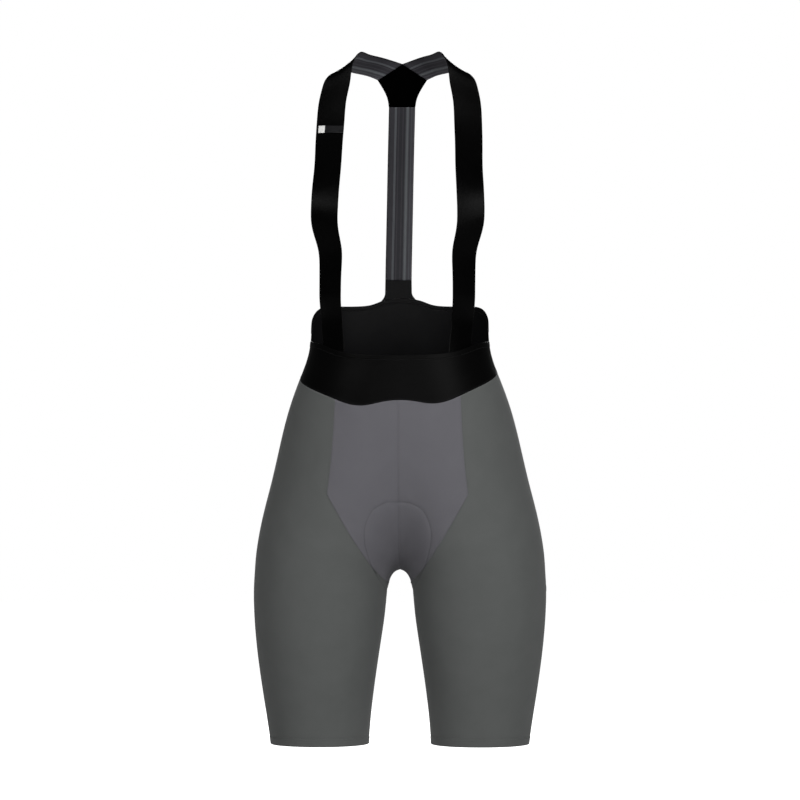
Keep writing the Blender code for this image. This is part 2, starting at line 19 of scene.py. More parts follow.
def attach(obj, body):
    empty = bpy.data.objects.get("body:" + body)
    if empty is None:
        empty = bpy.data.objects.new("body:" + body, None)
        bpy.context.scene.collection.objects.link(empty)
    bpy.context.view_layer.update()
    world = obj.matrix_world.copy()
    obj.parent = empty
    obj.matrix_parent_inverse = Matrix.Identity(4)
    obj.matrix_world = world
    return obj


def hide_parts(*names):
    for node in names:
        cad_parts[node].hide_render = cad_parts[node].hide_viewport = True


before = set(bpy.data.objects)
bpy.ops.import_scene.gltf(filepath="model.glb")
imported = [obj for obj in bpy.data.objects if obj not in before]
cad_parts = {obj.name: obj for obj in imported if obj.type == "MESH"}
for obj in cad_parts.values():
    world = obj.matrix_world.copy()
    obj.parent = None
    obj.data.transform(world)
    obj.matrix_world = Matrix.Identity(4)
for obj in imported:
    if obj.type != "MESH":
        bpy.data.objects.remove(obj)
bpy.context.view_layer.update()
bpy.ops.object.select_all(action="DESELECT")
MM = 0.001
print("nodes to dress:", ", ".join(sorted(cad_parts)))

# %% [markdown]
# The camera stands far away with a long lens, as for a shop picture, so that near and far parts keep
# their proportions. It is level with the middle of the garment and a little to the wearer's left.

# %% Camera
MIDDLE = Vector((0.0, 0.0, -0.444))
CAMERA_AWAY, CAMERA_TURN = 6.0, np.radians(1.8)
LENS, SENSOR = 211, 36
camera_way = Vector((np.sin(CAMERA_TURN), -np.cos(CAMERA_TURN), 0))
bpy.ops.object.camera_add(location=MIDDLE + CAMERA_AWAY * camera_way)
camera = bpy.context.object
camera.rotation_euler = (MIDDLE - camera.location).to_track_quat("-Z", "Y").to_euler()
camera.data.lens, camera.data.sensor_width = LENS, SENSOR
camera.data.dof.use_dof = False
bpy.context.scene.camera = camera
print("camera at", [round(x, 3) for x in camera.location])

# %% [markdown]
# ## The worn form
#
# Cloth that is stretched over a body takes the body's shape, so the body comes first. It is two smooth
# lobes, one for each leg, which run together above the crotch. The table gives their outline at each
# height, in millimetres: how wide the pair is, where the inner side of a leg lies, how far the form goes
# to the front and back, how square its outline is, and how softly the lobes blend.

# %% The form, section by section
Section = namedtuple("Section", "height width gap front back square blend")
FORM = [
    Section(-895, 163.5, 40.8, -73, 68, 2.10, 0.2),
    Section(-850, 170.0, 37.6, -79, 73, 2.12, 0.4),
    Section(-800, 177.6, 31.6, -87, 79, 2.15, 6.0),
    Section(-750, 183.8, 24.2, -93, 85, 2.17, 16.0),
    Section(-710, 186.6, 18.8, -96, 93, 2.18, 28.0),
    Section(-680, 186.8, 15.7, -98, 101, 2.18, 38.0),
    Section(-665, 186.0, 12.2, -99, 105, 2.18, 42.0),
    Section(-645, 184.7, 3.0, -100, 110, 2.16, 44.0),
    Section(-620, 181.3, -11.0, -101, 115, 2.14, 42.0),
    Section(-590, 175.2, -31.0, -102, 118, 2.12, 36.0),
    Section(-550, 165.0, -58.0, -103, 118, 2.10, 26.0),
    Section(-500, 153.3, -84.0, -103, 111, 2.10, 15.0),
    Section(-460, 143.0, -101.0, -101, 101, 2.12, 8.0),
    Section(-420, 129.0, -109.0, -97, 90, 2.15, 4.0),
    Section(-385, 116.6, -111.6, -92, 81, 2.15, 1.5),
    Section(-350, 113.3, -112.6, -89, 77, 2.15, 0.3),
    Section(-320, 113.4, -113.2, -88, 77, 2.15, 0.1),
    Section(-280, 114.5, -114.4, -90, 80, 2.15, 0.1),
]
print("sections of the form:", len(FORM))

# %% A smooth curve through the rows of a table


def curve(knots, values):
    """A natural cubic spline through values, which may be numbers or points. Returns a function."""
    knots, values = np.asarray(knots, float), np.asarray(values, float)
    flat = values.reshape(len(knots), -1)
    step = np.diff(knots)
    system, load = np.eye(len(knots)), np.zeros_like(flat)
    for i in range(1, len(knots) - 1):
        system[i, i - 1 : i + 2] = step[i - 1], 2 * (step[i - 1] + step[i]), step[i]
        load[i] = 6 * ((flat[i + 1] - flat[i]) / step[i] - (flat[i] - flat[i - 1]) / step[i - 1])
    bend = np.linalg.solve(system, load)

    def read(at):
        at = np.asarray(at, float)
        where = at.ravel()
        i = np.clip(np.searchsorted(knots, where) - 1, 0, len(knots) - 2)
        before = ((knots[i + 1] - where) / step[i])[:, None]
        after = 1 - before
        line = before * flat[i] + after * flat[i + 1]
        sag = (before**3 - before) * bend[i] + (after**3 - after) * bend[i + 1]
        return (line + sag * step[i][:, None] ** 2 / 6).reshape(at.shape + values.shape[1:])

    return read


def columns_of(table):
    """All columns of a table but the first, in metres, as one curve over the first, in metres too."""
    rows = np.array(table, float) * MM
    return curve(rows[:, 0], rows[:, 1:])


read_form = columns_of(FORM)
print("the form is", round(2000 * read_form(-680 * MM)[0]), "mm across at the hips")

# %% How far a point lies outside the form
FRONT, BACK = (0.0, -1.0, 0.0), (0.0, 1.0, 0.0)  # ways out of the form


def unit(vectors):
    return vectors / np.linalg.norm(vectors, axis=-1, keepdims=True)


def points_of(x, y, z):
    """Points from their coordinates, each a number or an array."""
    return np.stack(np.broadcast_arrays(x, y, z), axis=-1).astype(float)


def lobes(height):
    """The leg lobes at a height: side, half width, middle, half depth, square and blend."""
    width, gap, front, back, square, blend = np.moveaxis(read_form(height), -1, 0)
    square = square / MM  # it is a plain number, so it was never in millimetres
    return (width + gap) / 2, (width - gap) / 2, (front + back) / 2, (back - front) / 2, square, blend


def outside(points):
    """How far the points lie outside the worn form, about. Inside it is negative."""
    side, half, middle, depth, square, blend = lobes(points[..., 2])
    away = np.abs(points[..., 1] - middle)

    def lobe(x):
        across = np.abs(x - side)
        size = ((across / half) ** square + (away / depth) ** square) ** (1 / square) + 1e-9
        return np.hypot(across, away) * (1 - 1 / size)

    one, other = lobe(points[..., 0]), lobe(-points[..., 0])
    shared = np.maximum(blend - np.abs(one - other), 0)
    return np.minimum(one, other) - shared**2 / (4 * blend)


def slope(points):
    """The gradient of outside()."""
    step = 0.1 * MM
    rise = [outside(points + step * axis) - outside(points - step * axis) for axis in np.eye(3)]
    return np.stack(rise, axis=-1) / (2 * step)


print("a point 10 mm off the hip is", round(1000 * outside(np.array([0.1968, 0, -0.68])), 1), "mm outside")

# %% [markdown]
# Two ways lead onto the form. Settling moves a point straight down its slope, as cloth lies down.
# Casting sends a ray out from inside the form and stops where it leaves it.

# %% Settle and cast
ROUNDS = 8  # enough for a point to come to rest on the form, or on an edge
HALVINGS = 26  # these narrow a ray's end down to a few millionths of a millimetre
RAY = 0.25  # longer than any ray has to be


def settle(points, deep=0.0):
    """Moves points straight onto the worn form, then in by deep."""
    points = np.array(points, float)
    for _ in range(ROUNDS):
        way = slope(points)
        points -= (outside(points) / (way**2).sum(-1))[..., None] * way
    return points - deep * unit(slope(points))


def cast(start, way):
    """Where rays from inside the form leave it. No ray passes the middle, so each stays in its own leg."""
    start, way = np.broadcast_arrays(np.asarray(start, float), np.asarray(way, float))
    inward = start[..., 0] * way[..., 0] < 0
    far = np.where(inward, -start[..., 0] / np.where(inward, way[..., 0], 1), RAY)
    near = np.zeros(start.shape[:-1])
    for _ in range(HALVINGS):
        half = (near + far) / 2
        inside = outside(start + half[..., None] * way) < 0
        near, far = np.where(inside, half, near), np.where(inside, far, half)
    return start + near[..., None] * way


print("the belly is at", np.round(1000 * cast((0, 0, -0.5), FRONT), 1), "mm")

# %% Lines of points
FINE = 400  # points of a line before it is cut into rows


def lengths(line):
    """The length of a line of points up to each of them."""
    return np.concatenate([[0], np.cumsum(np.linalg.norm(np.diff(line, axis=0), axis=1))])


def read_line(at, reach, values):
    """Values of a line, such as its points, at distances along it."""
    return np.stack([np.interp(at, reach, column) for column in np.transpose(values)], axis=-1)


def at_share(line, share):
    """Points of a line at shares of its length."""
    along = lengths(line)
    return read_line(share * along[-1], along, line)


def resample(line, count, start=0.0, end=1.0):
    """count + 1 points spaced evenly along a line, from one share of it to another."""
    return at_share(line, np.linspace(start, end, count + 1))


def cut_at(line, index, value, last=False):
    """Where a line crosses a coordinate, as a share of its length."""
    hits = np.flatnonzero((line[:-1, index] - value) * (line[1:, index] - value) <= 0)
    i = hits[-1] if last else hits[0]
    part = (value - line[i, index]) / (line[i + 1, index] - line[i, index])
    return np.interp(i + part, np.arange(len(line)), lengths(line)) / lengths(line)[-1]


print("halfway up a 1 m line:", at_share(np.array([[0.0, 0.0, 0.0], [0.0, 0.0, 1.0]]), 0.5))

# %% [markdown]
# ## The seam lines
#
# The seams decide where one piece ends and the next begins. A waistband edge is a height for each angle
# round the waist. The seam between the front panel and the leg runs straight down to a corner, in under
# the crotch, and up to a point on the seat. Both sides are worked out alike: turn is 1 for the wearer's
# left and -1 for the right.

# %% Edges of the waistband
# Each edge is a height in millimetres by the angle in degrees.
BAND_TOP_FRONT = {
    0: -387.0, 25: -386.2, 36: -385.0, 47: -382.0, 56: -377.5, 65: -372.8, 78: -370.0, 95: -369.0,
}
BAND_TOP_BACK = {
    85: -362.0, 90: -352.0, 93: -344.0, 97: -338.0, 103: -331.5, 110: -326.0, 120: -323.5, 146: -322.5,
    154: -320.5, 162: -316.0, 170: -313.3, 180: -312.0,
}
BAND_SEAM = {
    0: -443.8, 12: -446.0, 24: -449.6, 33: -447.6, 45: -439.0, 60: -428.2, 80: -416.0, 100: -407.0,
    130: -400.0, 180: -396.0,
}
TILT = 0.028  # the waist seam lies lower on the wearer's right, by this slope
NEAR_WAIST = -400 * MM  # where the search for a waistband edge starts


def edge_curve(heights):
    """A waistband edge: its height in metres by the angle in degrees."""
    return curve(list(heights), np.array(list(heights.values())) * MM)


band_seam, top_front, top_back = [edge_curve(table) for table in (BAND_SEAM, BAND_TOP_FRONT, BAND_TOP_BACK)]


def waist_angle(points):
    """Degrees round the waist from the front middle, the same on both sides."""
    middle = lobes(points[..., 2])[2]
    return np.degrees(np.arctan2(np.abs(points[..., 0]), middle - points[..., 1]))


def edge_height(edge, points):
    """The height of a waistband edge at the angle of these points. The waist seam is tilted."""
    height = edge(waist_angle(points))
    return height + TILT * points[..., 0] if edge is band_seam else height


def way_round(turn, angle):
    """The level way out at an angle in radians from the front, on one side."""
    return points_of(turn * np.sin(angle), -np.cos(angle), 0)


def on_edge(edge, angle, turn):
    """Points of a waistband edge by their angle in degrees from the front middle."""
    angle = np.radians(angle)
    height = np.full(np.shape(angle), NEAR_WAIST)
    for _ in range(ROUNDS):
        points = cast(points_of(0, lobes(height)[2], height), way_round(turn, angle))
        height = edge_height(edge, points)
    return points


band_depth = on_edge(top_front, 0, 1)[2] - on_edge(band_seam, 0, 1)[2]
print("the waistband is", round(1000 * band_depth), "mm deep in front")

# %% Side seams of the front panel
Point = namedtuple("Point", "x y z")
PANEL_SIDE = [Point(79.2, -89, -447.0), Point(82.6, -95, -505.0), Point(89.5, -101, -562.5)]
PANEL_UNDER = [
    Point(89.5, -101, -562.5), Point(60.5, -101, -612.8), Point(40.5, -86, -643.5),
    Point(25.0, -58, -665.0), Point(15.5, -24, -675.5), Point(14.0, 3, -677.5),
    Point(15.5, 34, -672.0), Point(18.0, 62, -655.0), Point(14.0, 88, -630.0),
    Point(6.8, 104, -606.0), Point(1.2, 110, -592.0),
]
FRONT_WAIST = -445 * MM  # where the search for the waist seam on the front starts
SIDE_ROWS, UNDER_ROWS, REAR_ROWS = 44, 104, 48
ROWS_ABOVE = SIDE_ROWS + UNDER_ROWS


def front_of_seam(x):
    """The point of the waist seam at a distance to the side, on the front."""
    height = FRONT_WAIST
    for _ in range(ROUNDS):
        point = cast((x, 0.0, height), FRONT)
        height = edge_height(band_seam, point)
    return point


def in_rows(side, under, rear):
    """One line from three, cut into the rows that all pieces share."""
    return np.concatenate([side, under[1:], rear[1:]])


def panel_edge(turn):
    """The front panel's side seam for one side: down the front, under the crotch and up to its tip."""
    side, under = np.array(PANEL_SIDE) * MM * (turn, 1, 1), np.array(PANEL_UNDER) * MM * (turn, 1, 1)
    side[0] = front_of_seam(side[0, 0])
    upper = settle(curve([0, 0.5, 1], side)(np.linspace(0, 1, FINE)))
    upper[0] = side[0]
    reach = lengths(under)
    lower = settle(curve(reach, under)(np.linspace(0, reach[-1], FINE)))
    low = np.argmin(lower[:, 2])
    return in_rows(
        resample(upper, SIDE_ROWS), resample(lower[: low + 1], UNDER_ROWS), resample(lower[low:], REAR_ROWS)
    )


panel_seam = {turn: panel_edge(turn) for turn in (1, -1)}
print("a panel seam is", round(1000 * lengths(panel_seam[1])[-1]), "mm long")

# %% The middle line, from the waist under the crotch and up the seat
LINE_TOP = -385.0 * MM
LINE_PIVOT = -573.5 * MM  # under the crotch the line is found by rays that fan out from here


def middle_line():
    down = np.linspace(LINE_TOP, LINE_PIVOT, FINE)
    fan = np.radians(np.linspace(0, 180, FINE))[1:-1]
    under = cast((0, 0, LINE_PIVOT), points_of(0, -np.cos(fan), -np.sin(fan)))
    return np.concatenate([cast(points_of(0, 0, down), FRONT), under, cast(points_of(0, 0, down[::-1]), BACK)])


line = middle_line()
top_middle, seat_top = on_edge(band_seam, 0.0, 1), on_edge(band_seam, 180.0, 1)
corner_share = cut_at(line, 2, PANEL_SIDE[-1].z * MM)
low_share = cut_at(line, 1, line[np.argmin(line[:, 2]), 1])
tip_share = cut_at(line, 2, panel_seam[1][-1, 2], last=True)
front_seam = in_rows(
    resample(line, SIDE_ROWS, cut_at(line, 2, top_middle[2]), corner_share),
    resample(line, UNDER_ROWS, corner_share, low_share),
    resample(line, REAR_ROWS, low_share, tip_share),
)
seat_seam = resample(line, ROWS_ABOVE - REAR_ROWS, cut_at(line, 2, seat_top[2], last=True), tip_share)
front_seam[:, 0] = seat_seam[:, 0] = 0
front_seam[0], seat_seam[0] = top_middle, seat_top
for name, seam in (("front", front_seam), ("seat", seat_seam)):
    print(name, "seam:", round(1000 * lengths(seam)[-1]), "mm")

# %% [markdown]
# ## From a grid of points to a piece of cloth
#
# A knit or a stripe has to follow the cloth and keep its real size, so each piece carries a UV map in
# metres, measured along the cloth itself. Hems, seams and stitch lines are small heights that are added
# along the cloth's normals. Each is given by how far it lies from an edge, so a hem stays parallel to
# its edge all the way round. Last, a Solidify modifier gives the sheet its thickness towards the body.

# %% Measuring along a sheet


def spans(grid):
    """How far each point lies from the top, foot, first and last edge of a grid, along its lines."""
    down, across = np.zeros(grid.shape[:2]), np.zeros(grid.shape[:2])
    down[1:] = np.cumsum(np.linalg.norm(np.diff(grid, axis=0), axis=-1), axis=0)
    across[:, 1:] = np.cumsum(np.linalg.norm(np.diff(grid, axis=1), axis=-1), axis=1)
    return down, down[-1] - down, across, across[:, -1:] - across


def normals_of(grid, outward):
    """Unit normals of a grid. outward is roughly the way out at its middle."""
    normals = np.cross(np.gradient(grid, axis=0), np.gradient(grid, axis=1))
    normals = normals / np.maximum(np.linalg.norm(normals, axis=-1, keepdims=True), 1e-12)
    middle = normals[grid.shape[0] // 2 - 1, grid.shape[1] // 2 - 1]
    return normals * (1 if middle @ np.asarray(outward, float) > 0 else -1)


def smooth(share):
    """A soft change from 0 to 1, as a share goes from 0 to 1."""
    share = np.clip(share, 0, 1)
    return share**2 * (3 - 2 * share)


def step_at(distance, place, soft):
    """1 before a place and 0 after it, with a soft change."""
    return smooth((place + soft / 2 - distance) / soft)


def ridge_at(distance, place, wide):
    """A rounded ridge of height 1 along a place."""
    return np.exp(-(((distance - place) / wide) ** 2))


print("a soft step, at its place:", step_at(0.0, 0.0, 1.0))

# %% The seamed sheet
CLOTH = 1.0 * MM
WEBBING = 1.2 * MM
Sheet = namedtuple("Sheet", "piece grid normals")


def quads(rows, columns):
    """The faces of a grid, by the numbers of their corners."""
    index = np.arange(rows * columns).reshape(rows, columns)
    return np.stack([index[:-1, :-1], index[1:, :-1], index[1:, 1:], index[:-1, 1:]], axis=-1).reshape(-1, 4)


def cloth_uv(grid, centre):
    """Metres across a grid from one of its columns, and up from its top edge."""
    down, _, across, _ = spans(grid)
    return np.stack([across - across[:, centre : centre + 1], -down], axis=-1).reshape(-1, 2)


def make_piece(name, points, faces, finishes):
    """A smooth mesh in the scene, with its materials."""
    data = bpy.data.meshes.new(name)
    data.from_pydata(points.reshape(-1, 3).tolist(), [], faces)
    data.shade_smooth()
    for finish in finishes:
        data.materials.append(finish)
    piece = bpy.data.objects.new(name, data)
    bpy.context.scene.collection.objects.link(piece)
    return piece


def sew(name, grid, outward, lift, thickness, finishes, middle_column=None):
    """A piece of cloth on a grid, lifted along its normals, with a UV map in metres called cloth."""
    rows, columns = grid.shape[:2]
    uv = cloth_uv(grid, columns // 2 if middle_column is None else middle_column)
    normals = normals_of(grid, outward)
    grid = grid + normals * np.broadcast_to(lift, (rows, columns))[..., None]
    corners = quads(rows, columns)
    middle = (rows // 2 - 1) * (columns - 1) + columns // 2 - 1
    a, b, c, _ = grid.reshape(-1, 3)[corners[middle]]
    if np.cross(b - a, c - a) @ np.asarray(outward, float) < 0:
        corners = corners[:, ::-1]
    piece = make_piece(name, grid, corners.tolist(), finishes)
    piece.data.uv_layers.new(name="cloth").data.foreach_set("uv", uv[corners.ravel()].ravel())
    wall = piece.modifiers.new("cloth thickness", "SOLIDIFY")
    wall.thickness, wall.offset, wall.material_offset = thickness, -1, len(finishes) - 1
    return Sheet(piece, grid, normals)


print(f"jersey and knit {1000 * CLOTH:.1f} mm thick, webbing {1000 * WEBBING:.1f} mm")

# %% [markdown]
# ## Finishes
#
# Most of a garment's character is in how its cloth takes light. Colours are written as hex values, as
# a dye card gives them, and one function turns them into the linear light that a renderer works in. A
# wave texture repeats every 0.314 units at scale 1, so another small function gives the scale for a
# real spacing in millimetres.

# %% Colour, spacing and nodes


def linear(code):
    """An sRGB hex colour as linear red, green, blue and alpha."""
    values = [int(code[k : k + 2], 16) / 255 for k in (1, 3, 5)]
    return tuple(v / 12.92 if v <= 0.04045 else ((v + 0.055) / 1.055) ** 2.4 for v in values) + (1.0,)


def wave_scale(spacing_mm):
    """The scale of a wave texture whose bands lie this far apart."""
    return 2 * np.pi / 20 / (spacing_mm * MM)


def add(tree, kind, settings=None, links=None):
    """Adds a node with its settings and its links from other nodes' outputs."""
    node = tree.nodes.new("ShaderNode" + kind)
    for key, value in (settings or {}).items():
        if isinstance(key, int) or key in node.inputs:
            node.inputs[key].default_value = value
        else:
            setattr(node, key, value)
    for key, output in (links or {}).items():
        tree.links.new(output, node.inputs[key])
    return node


def new_finish(name, settings):
    """A material with its tree and its principled shader. settings are the shader's own values."""
    finish = bpy.data.materials.new(name)
    finish.use_nodes = True
    shader = finish.node_tree.nodes["Principled BSDF"]
    for key, value in settings.items():
        shader.inputs[key].default_value = value
    return finish, finish.node_tree, shader


def cloth_finish(name, settings):
    """A new finish and the cloth's own UV map, which its weave follows."""
    finish, tree, shader = new_finish(name, settings)
    return finish, tree, shader, add(tree, "UVMap", {"uv_map": "cloth"}).outputs["UV"]


def finish_off(tree, shader, colour, height, strength, relief_mm):
    """Joins a colour, and a fine relief by its height, to the shader."""
    relief = add(tree, "Bump", {"Strength": strength, "Distance": relief_mm * MM}, {"Height": height})
    tree.links.new(colour, shader.inputs["Base Color"])
    tree.links.new(relief.outputs["Normal"], shader.inputs["Normal"])


def dye_and_relief(tree, shader, share, dyes, height, strength, relief_mm):
    """The same, with a colour between two dyes by a share that changes over the cloth."""
    colours = add(tree, "Mix", {"data_type": "RGBA", 6: linear(dyes[0]), 7: linear(dyes[1])}, {0: share})
    finish_off(tree, shader, colours.outputs[2], height, strength, relief_mm)


print("a wave for a 1 mm spacing has scale", round(wave_scale(1)))

# %% [markdown]
# The legs and the front panel are polyamide and elastane jersey, knitted on a warp machine so fine that
# it reads as plain matt cloth. Its face has upright ribs of tiny loops, called wales, and rows across,
# called courses. The real ones are under half a millimetre apart, too fine to show, so they are drawn a
# little under 1 mm apart. The dye takes unevenly by a hair, which a soft noise gives, and the fibres'
# fuzz gives a faint sheen.

# %% Warp-knit jersey
WALE_MM, COURSE_MM = 0.9, 0.75
LEG_GREY, PANEL_GREY = "#525453", "#5b5a5f"
JERSEY = {
    "Roughness": 0.78, "IOR": 1.45, "Specular IOR Level": 0.28, "Sheen Weight": 0.08, "Sheen Roughness": 0.5
}


def warp_knit(name, colour, pale):
    """Matt stretch jersey in one dye. pale is the same dye where the loops catch the light."""
    finish, tree, shader, along = cloth_finish(name, JERSEY)
    wales, courses = [
        add(tree, "TexWave", {"bands_direction": way, "Scale": wave_scale(spacing)}, {"Vector": along})
        for way, spacing in (("X", WALE_MM), ("Y", COURSE_MM))
    ]
    loops = add(tree, "Math", {"operation": "MULTIPLY"}, {0: wales.outputs["Fac"], 1: courses.outputs["Fac"]})
    dye = add(tree, "TexNoise", {"Scale": 32.0, "Detail": 3.0, "Roughness": 0.55}, {"Vector": along})
    fuzz = add(tree, "TexNoise", {"Scale": 900.0, "Detail": 1.0}, {"Vector": along})
    shade = add(tree, "Mix", {"data_type": "FLOAT", 0: 0.35}, {2: dye.outputs["Fac"], 3: fuzz.outputs["Fac"]})
    tint = add(tree, "MapRange", {"From Min": 0.3, "From Max": 0.7}, {"Value": shade.outputs[0]})
    dye_and_relief(tree, shader, tint.outputs[0], (colour, pale), loops.outputs[0], 0.5, 0.05)
    return finish


leg_jersey = warp_knit("warp_knit_jersey_green_grey", LEG_GREY, "#565857")
panel_jersey = warp_knit("warp_knit_jersey_warm_grey", PANEL_GREY, "#5f5e63")
print("jersey in", LEG_GREY, "and", PANEL_GREY)

# %% [markdown]
# The waistband, the yoke and the tab are a heavier knit in black, with more elastane, so they are
# smoother. The waistband and the tab keep a soft gleam where they stretch, and the yoke is matt.
# The inside of the bands and of the tab is a paler copy of the same black, which paints the light that reaches
# it.

# %% Black power knit
WAIST_BLACK, INSIDE_BLACK_PAINTED_LIGHT, YOKE_BLACK = "#040404", "#0d0d0e", "#010101"


def power_knit(name, colour, pale, rough, gleam):
    """A dense black knit. pale is the dye where it took less, and gleam the strength of its reflection."""
    finish, tree, shader, along = cloth_finish(
        name, {"Roughness": rough, "IOR": 1.5, "Specular IOR Level": gleam}
    )
    wales = add(tree, "TexWave", {"bands_direction": "X", "Scale": wave_scale(1.0)}, {"Vector": along})
    dye = add(tree, "TexNoise", {"Scale": 40.0, "Detail": 2.0}, {"Vector": along})
    dye_and_relief(tree, shader, dye.outputs["Fac"], (colour, pale), wales.outputs["Fac"], 0.4, 0.05)
    return finish


waist_knit = power_knit("black_power_knit_face", WAIST_BLACK, "#060606", 0.4, 0.034)
# Painted light: the inside is the same knit as the face, made paler to stand in for the light on the inside of
# the back band and on the tab.
inside_knit_painted_light = power_knit("black_power_knit_inside", INSIDE_BLACK_PAINTED_LIGHT, "#121213", 0.5, 0.085)
yoke_knit = power_knit("black_power_knit_matt", YOKE_BLACK, "#020202", 0.7, 0.0)
print("black knit in", WAIST_BLACK, "face,", INSIDE_BLACK_PAINTED_LIGHT, "inside and", YOKE_BLACK, "yoke")

# %% [markdown]
# The straps are woven elastic. Its outer face is black with fine ribs across, one for each weft thread
# or pick. Its inner face shows the rubber's grey covering yarn in lengthwise stripes. The stripes follow
# the strap's width, so they are drawn from the first value of its UV map with a colour ramp, one stop
# for each change of yarn.

# %% Woven elastic, outer and inner face
STRAP_HALF = 17.2 * MM
PICK_MM, CORD_MM = 1.1, 1.6
# Each stripe's colour, by where it starts as a share of the width.
STRIPES = {
    0.00: "#2b2a2f", 0.10: "#302f34", 0.23: "#505256", 0.31: "#2a292e", 0.37: "#38373c",
    0.41: "#29282d", 0.53: "#38373c", 0.57: "#2a292e", 0.65: "#4b4d51", 0.69: "#5c5f62",
    0.76: "#434448", 0.80: "#36353a", 0.84: "#46464b", 0.90: "#3a393e", 0.95: "#545358",
}


def woven_elastic_inside(name):
    finish, tree, shader, along = cloth_finish(name, {"Roughness": 0.7, "IOR": 1.5, "Specular IOR Level": 0.3})
    across = add(tree, "SeparateXYZ", {}, {"Vector": along}).outputs["X"]
    width = add(tree, "MapRange", {"From Min": -STRAP_HALF, "From Max": STRAP_HALF}, {"Value": across})
    ramp = add(tree, "ValToRGB", {}, {"Fac": width.outputs[0]})
    ramp.color_ramp.interpolation = "CONSTANT"
    stops = ramp.color_ramp.elements
    stops.remove(stops[1])
    for start, colour in STRIPES.items():
        stop = stops.new(start) if start else stops[0]
        stop.color = linear(colour)
    picks = add(tree, "TexWave", {"bands_direction": "Y", "Scale": wave_scale(PICK_MM)}, {"Vector": along})
    finish_off(tree, shader, ramp.outputs["Color"], picks.outputs["Fac"], 0.5, 0.1)
    return finish


def woven_elastic_outside(name):
    finish, tree, shader, along = cloth_finish(
        name, {"Roughness": 0.32, "IOR": 1.5, "Specular IOR Level": 0.038}
    )
    picks, cords = [
        add(tree, "TexWave", {"bands_direction": way, "Scale": wave_scale(spacing)}, {"Vector": along})
        for way, spacing in (("Y", PICK_MM), ("X", CORD_MM))
    ]
    weave = add(tree, "Math", {"operation": "ADD"}, {0: picks.outputs["Fac"], 1: cords.outputs["Fac"]})
    yarn = add(tree, "TexNoise", {"Scale": 60.0, "Detail": 2.0}, {"Vector": along})
    dye_and_relief(tree, shader, yarn.outputs["Fac"], ("#010101", "#030303"), weave.outputs[0], 0.4, 0.08)
    return finish


elastic_faces = [
    woven_elastic_outside("woven_elastic_black_face"),
    woven_elastic_inside("woven_elastic_striped_face"),
]
print("stripes across the elastic:", len(STRIPES))

# %% [markdown]
# The pad is moulded foam faced with brushed jersey, the label is woven satin with a pale end, and the
# thread is spun polyester, dyed to match the cloth that it holds.

# %% Brushed pad face, satin label and thread
LABEL_PALE_FROM, LABEL_PALE_TO = 6.4 * MM, 14.7 * MM  # the label's pale end, measured from its middle


def brushed_foam(name):
    finish, tree, shader, along = cloth_finish(
        name, {"Roughness": 0.9, "Specular IOR Level": 0.2, "Sheen Weight": 0.15}
    )
    nap = add(tree, "TexNoise", {"Scale": 500.0, "Detail": 3.0}, {"Vector": along})
    pores = add(tree, "TexVoronoi", {"Scale": 260.0}, {"Vector": along}).outputs["Distance"]
    dye_and_relief(tree, shader, nap.outputs["Fac"], ("#3e3e42", "#47474b"), pores, 0.5, 0.2)
    return finish


def satin_label(name):
    finish, tree, shader, along = cloth_finish(name, {"Roughness": 0.42, "Specular IOR Level": 0.2})
    across = add(tree, "SeparateXYZ", {}, {"Vector": along}).outputs["X"]
    after = add(tree, "Math", {"operation": "GREATER_THAN", 1: LABEL_PALE_FROM}, {0: across})
    before = add(tree, "Math", {"operation": "LESS_THAN", 1: LABEL_PALE_TO}, {0: across})
    pale = add(tree, "Math", {"operation": "MULTIPLY"}, {0: after.outputs[0], 1: before.outputs[0]})
    weft = add(tree, "TexWave", {"bands_direction": "Y", "Scale": wave_scale(0.6)}, {"Vector": along})
    dye_and_relief(tree, shader, pale.outputs[0], ("#0e0e10", "#dadad8"), weft.outputs["Fac"], 0.4, 0.05)
    return finish


def spun_thread(name, colour):
    finish, tree, shader = new_finish(name, {"Roughness": 0.6, "Specular IOR Level": 0.35})
    place = add(tree, "TexCoord").outputs["Object"]
    plies = add(tree, "TexNoise", {"Scale": 1500.0, "Detail": 1.0}, {"Vector": place})
    dark = tuple(0.8 * v for v in linear(colour)[:3]) + (1.0,)
    dyes = {"data_type": "RGBA", 6: dark, 7: linear(colour)}
    colours = add(tree, "Mix", dyes, {0: plies.outputs["Fac"]})
    tree.links.new(colours.outputs[2], shader.inputs["Base Color"])
    return finish


pad_face = brushed_foam("brushed_jersey_on_foam")
label_satin = satin_label("woven_satin_label")
leg_thread = spun_thread("spun_polyester_thread_green_grey", "#595b5a")
panel_thread = spun_thread("spun_polyester_thread_warm_grey", "#646368")
pad_thread = spun_thread("spun_polyester_thread_dark_grey", "#38383c")
black_thread = spun_thread("spun_polyester_thread_black", "#0f0f10")
print("finishes made:", len([m for m in bpy.data.materials if m.use_nodes]))

# %% [markdown]
# ## Stitches
#
# A stitch is modelled once: a short plump loop of thread, 2.4 mm long. Rows of them are then laid along
# lines on the cloth. Thousands of separate objects would be slow, so each row copies the stitch's points
# into one mesh and turns each copy along the line and out of the cloth.

# %% One stitch
STITCH_HALF = (0.21 * MM, 0.16 * MM, 1.2 * MM)  # half its width, height and length
STITCH_PITCH = 2.9 * MM
STITCH_RISE = 0.06 * MM  # how far its middle lies above the cloth
STITCH_LOOK = 0.2 * MM  # how far ahead and behind its line is read for its direction
bpy.ops.mesh.primitive_uv_sphere_add(segments=6, ring_count=4, radius=1.0)
stitch = bpy.context.object
bpy.ops.object.mode_set(mode="EDIT")
bpy.ops.mesh.select_all(action="SELECT")
bpy.ops.transform.resize(value=STITCH_HALF)
bpy.ops.object.mode_set(mode="OBJECT")
stitch_points = np.array([vertex.co for vertex in stitch.data.vertices])
stitch_faces = [list(face.vertices) for face in stitch.data.polygons]
bpy.data.objects.remove(stitch)
print("faces in one stitch:", len(stitch_faces))

# %% Rows of stitches on a sheet


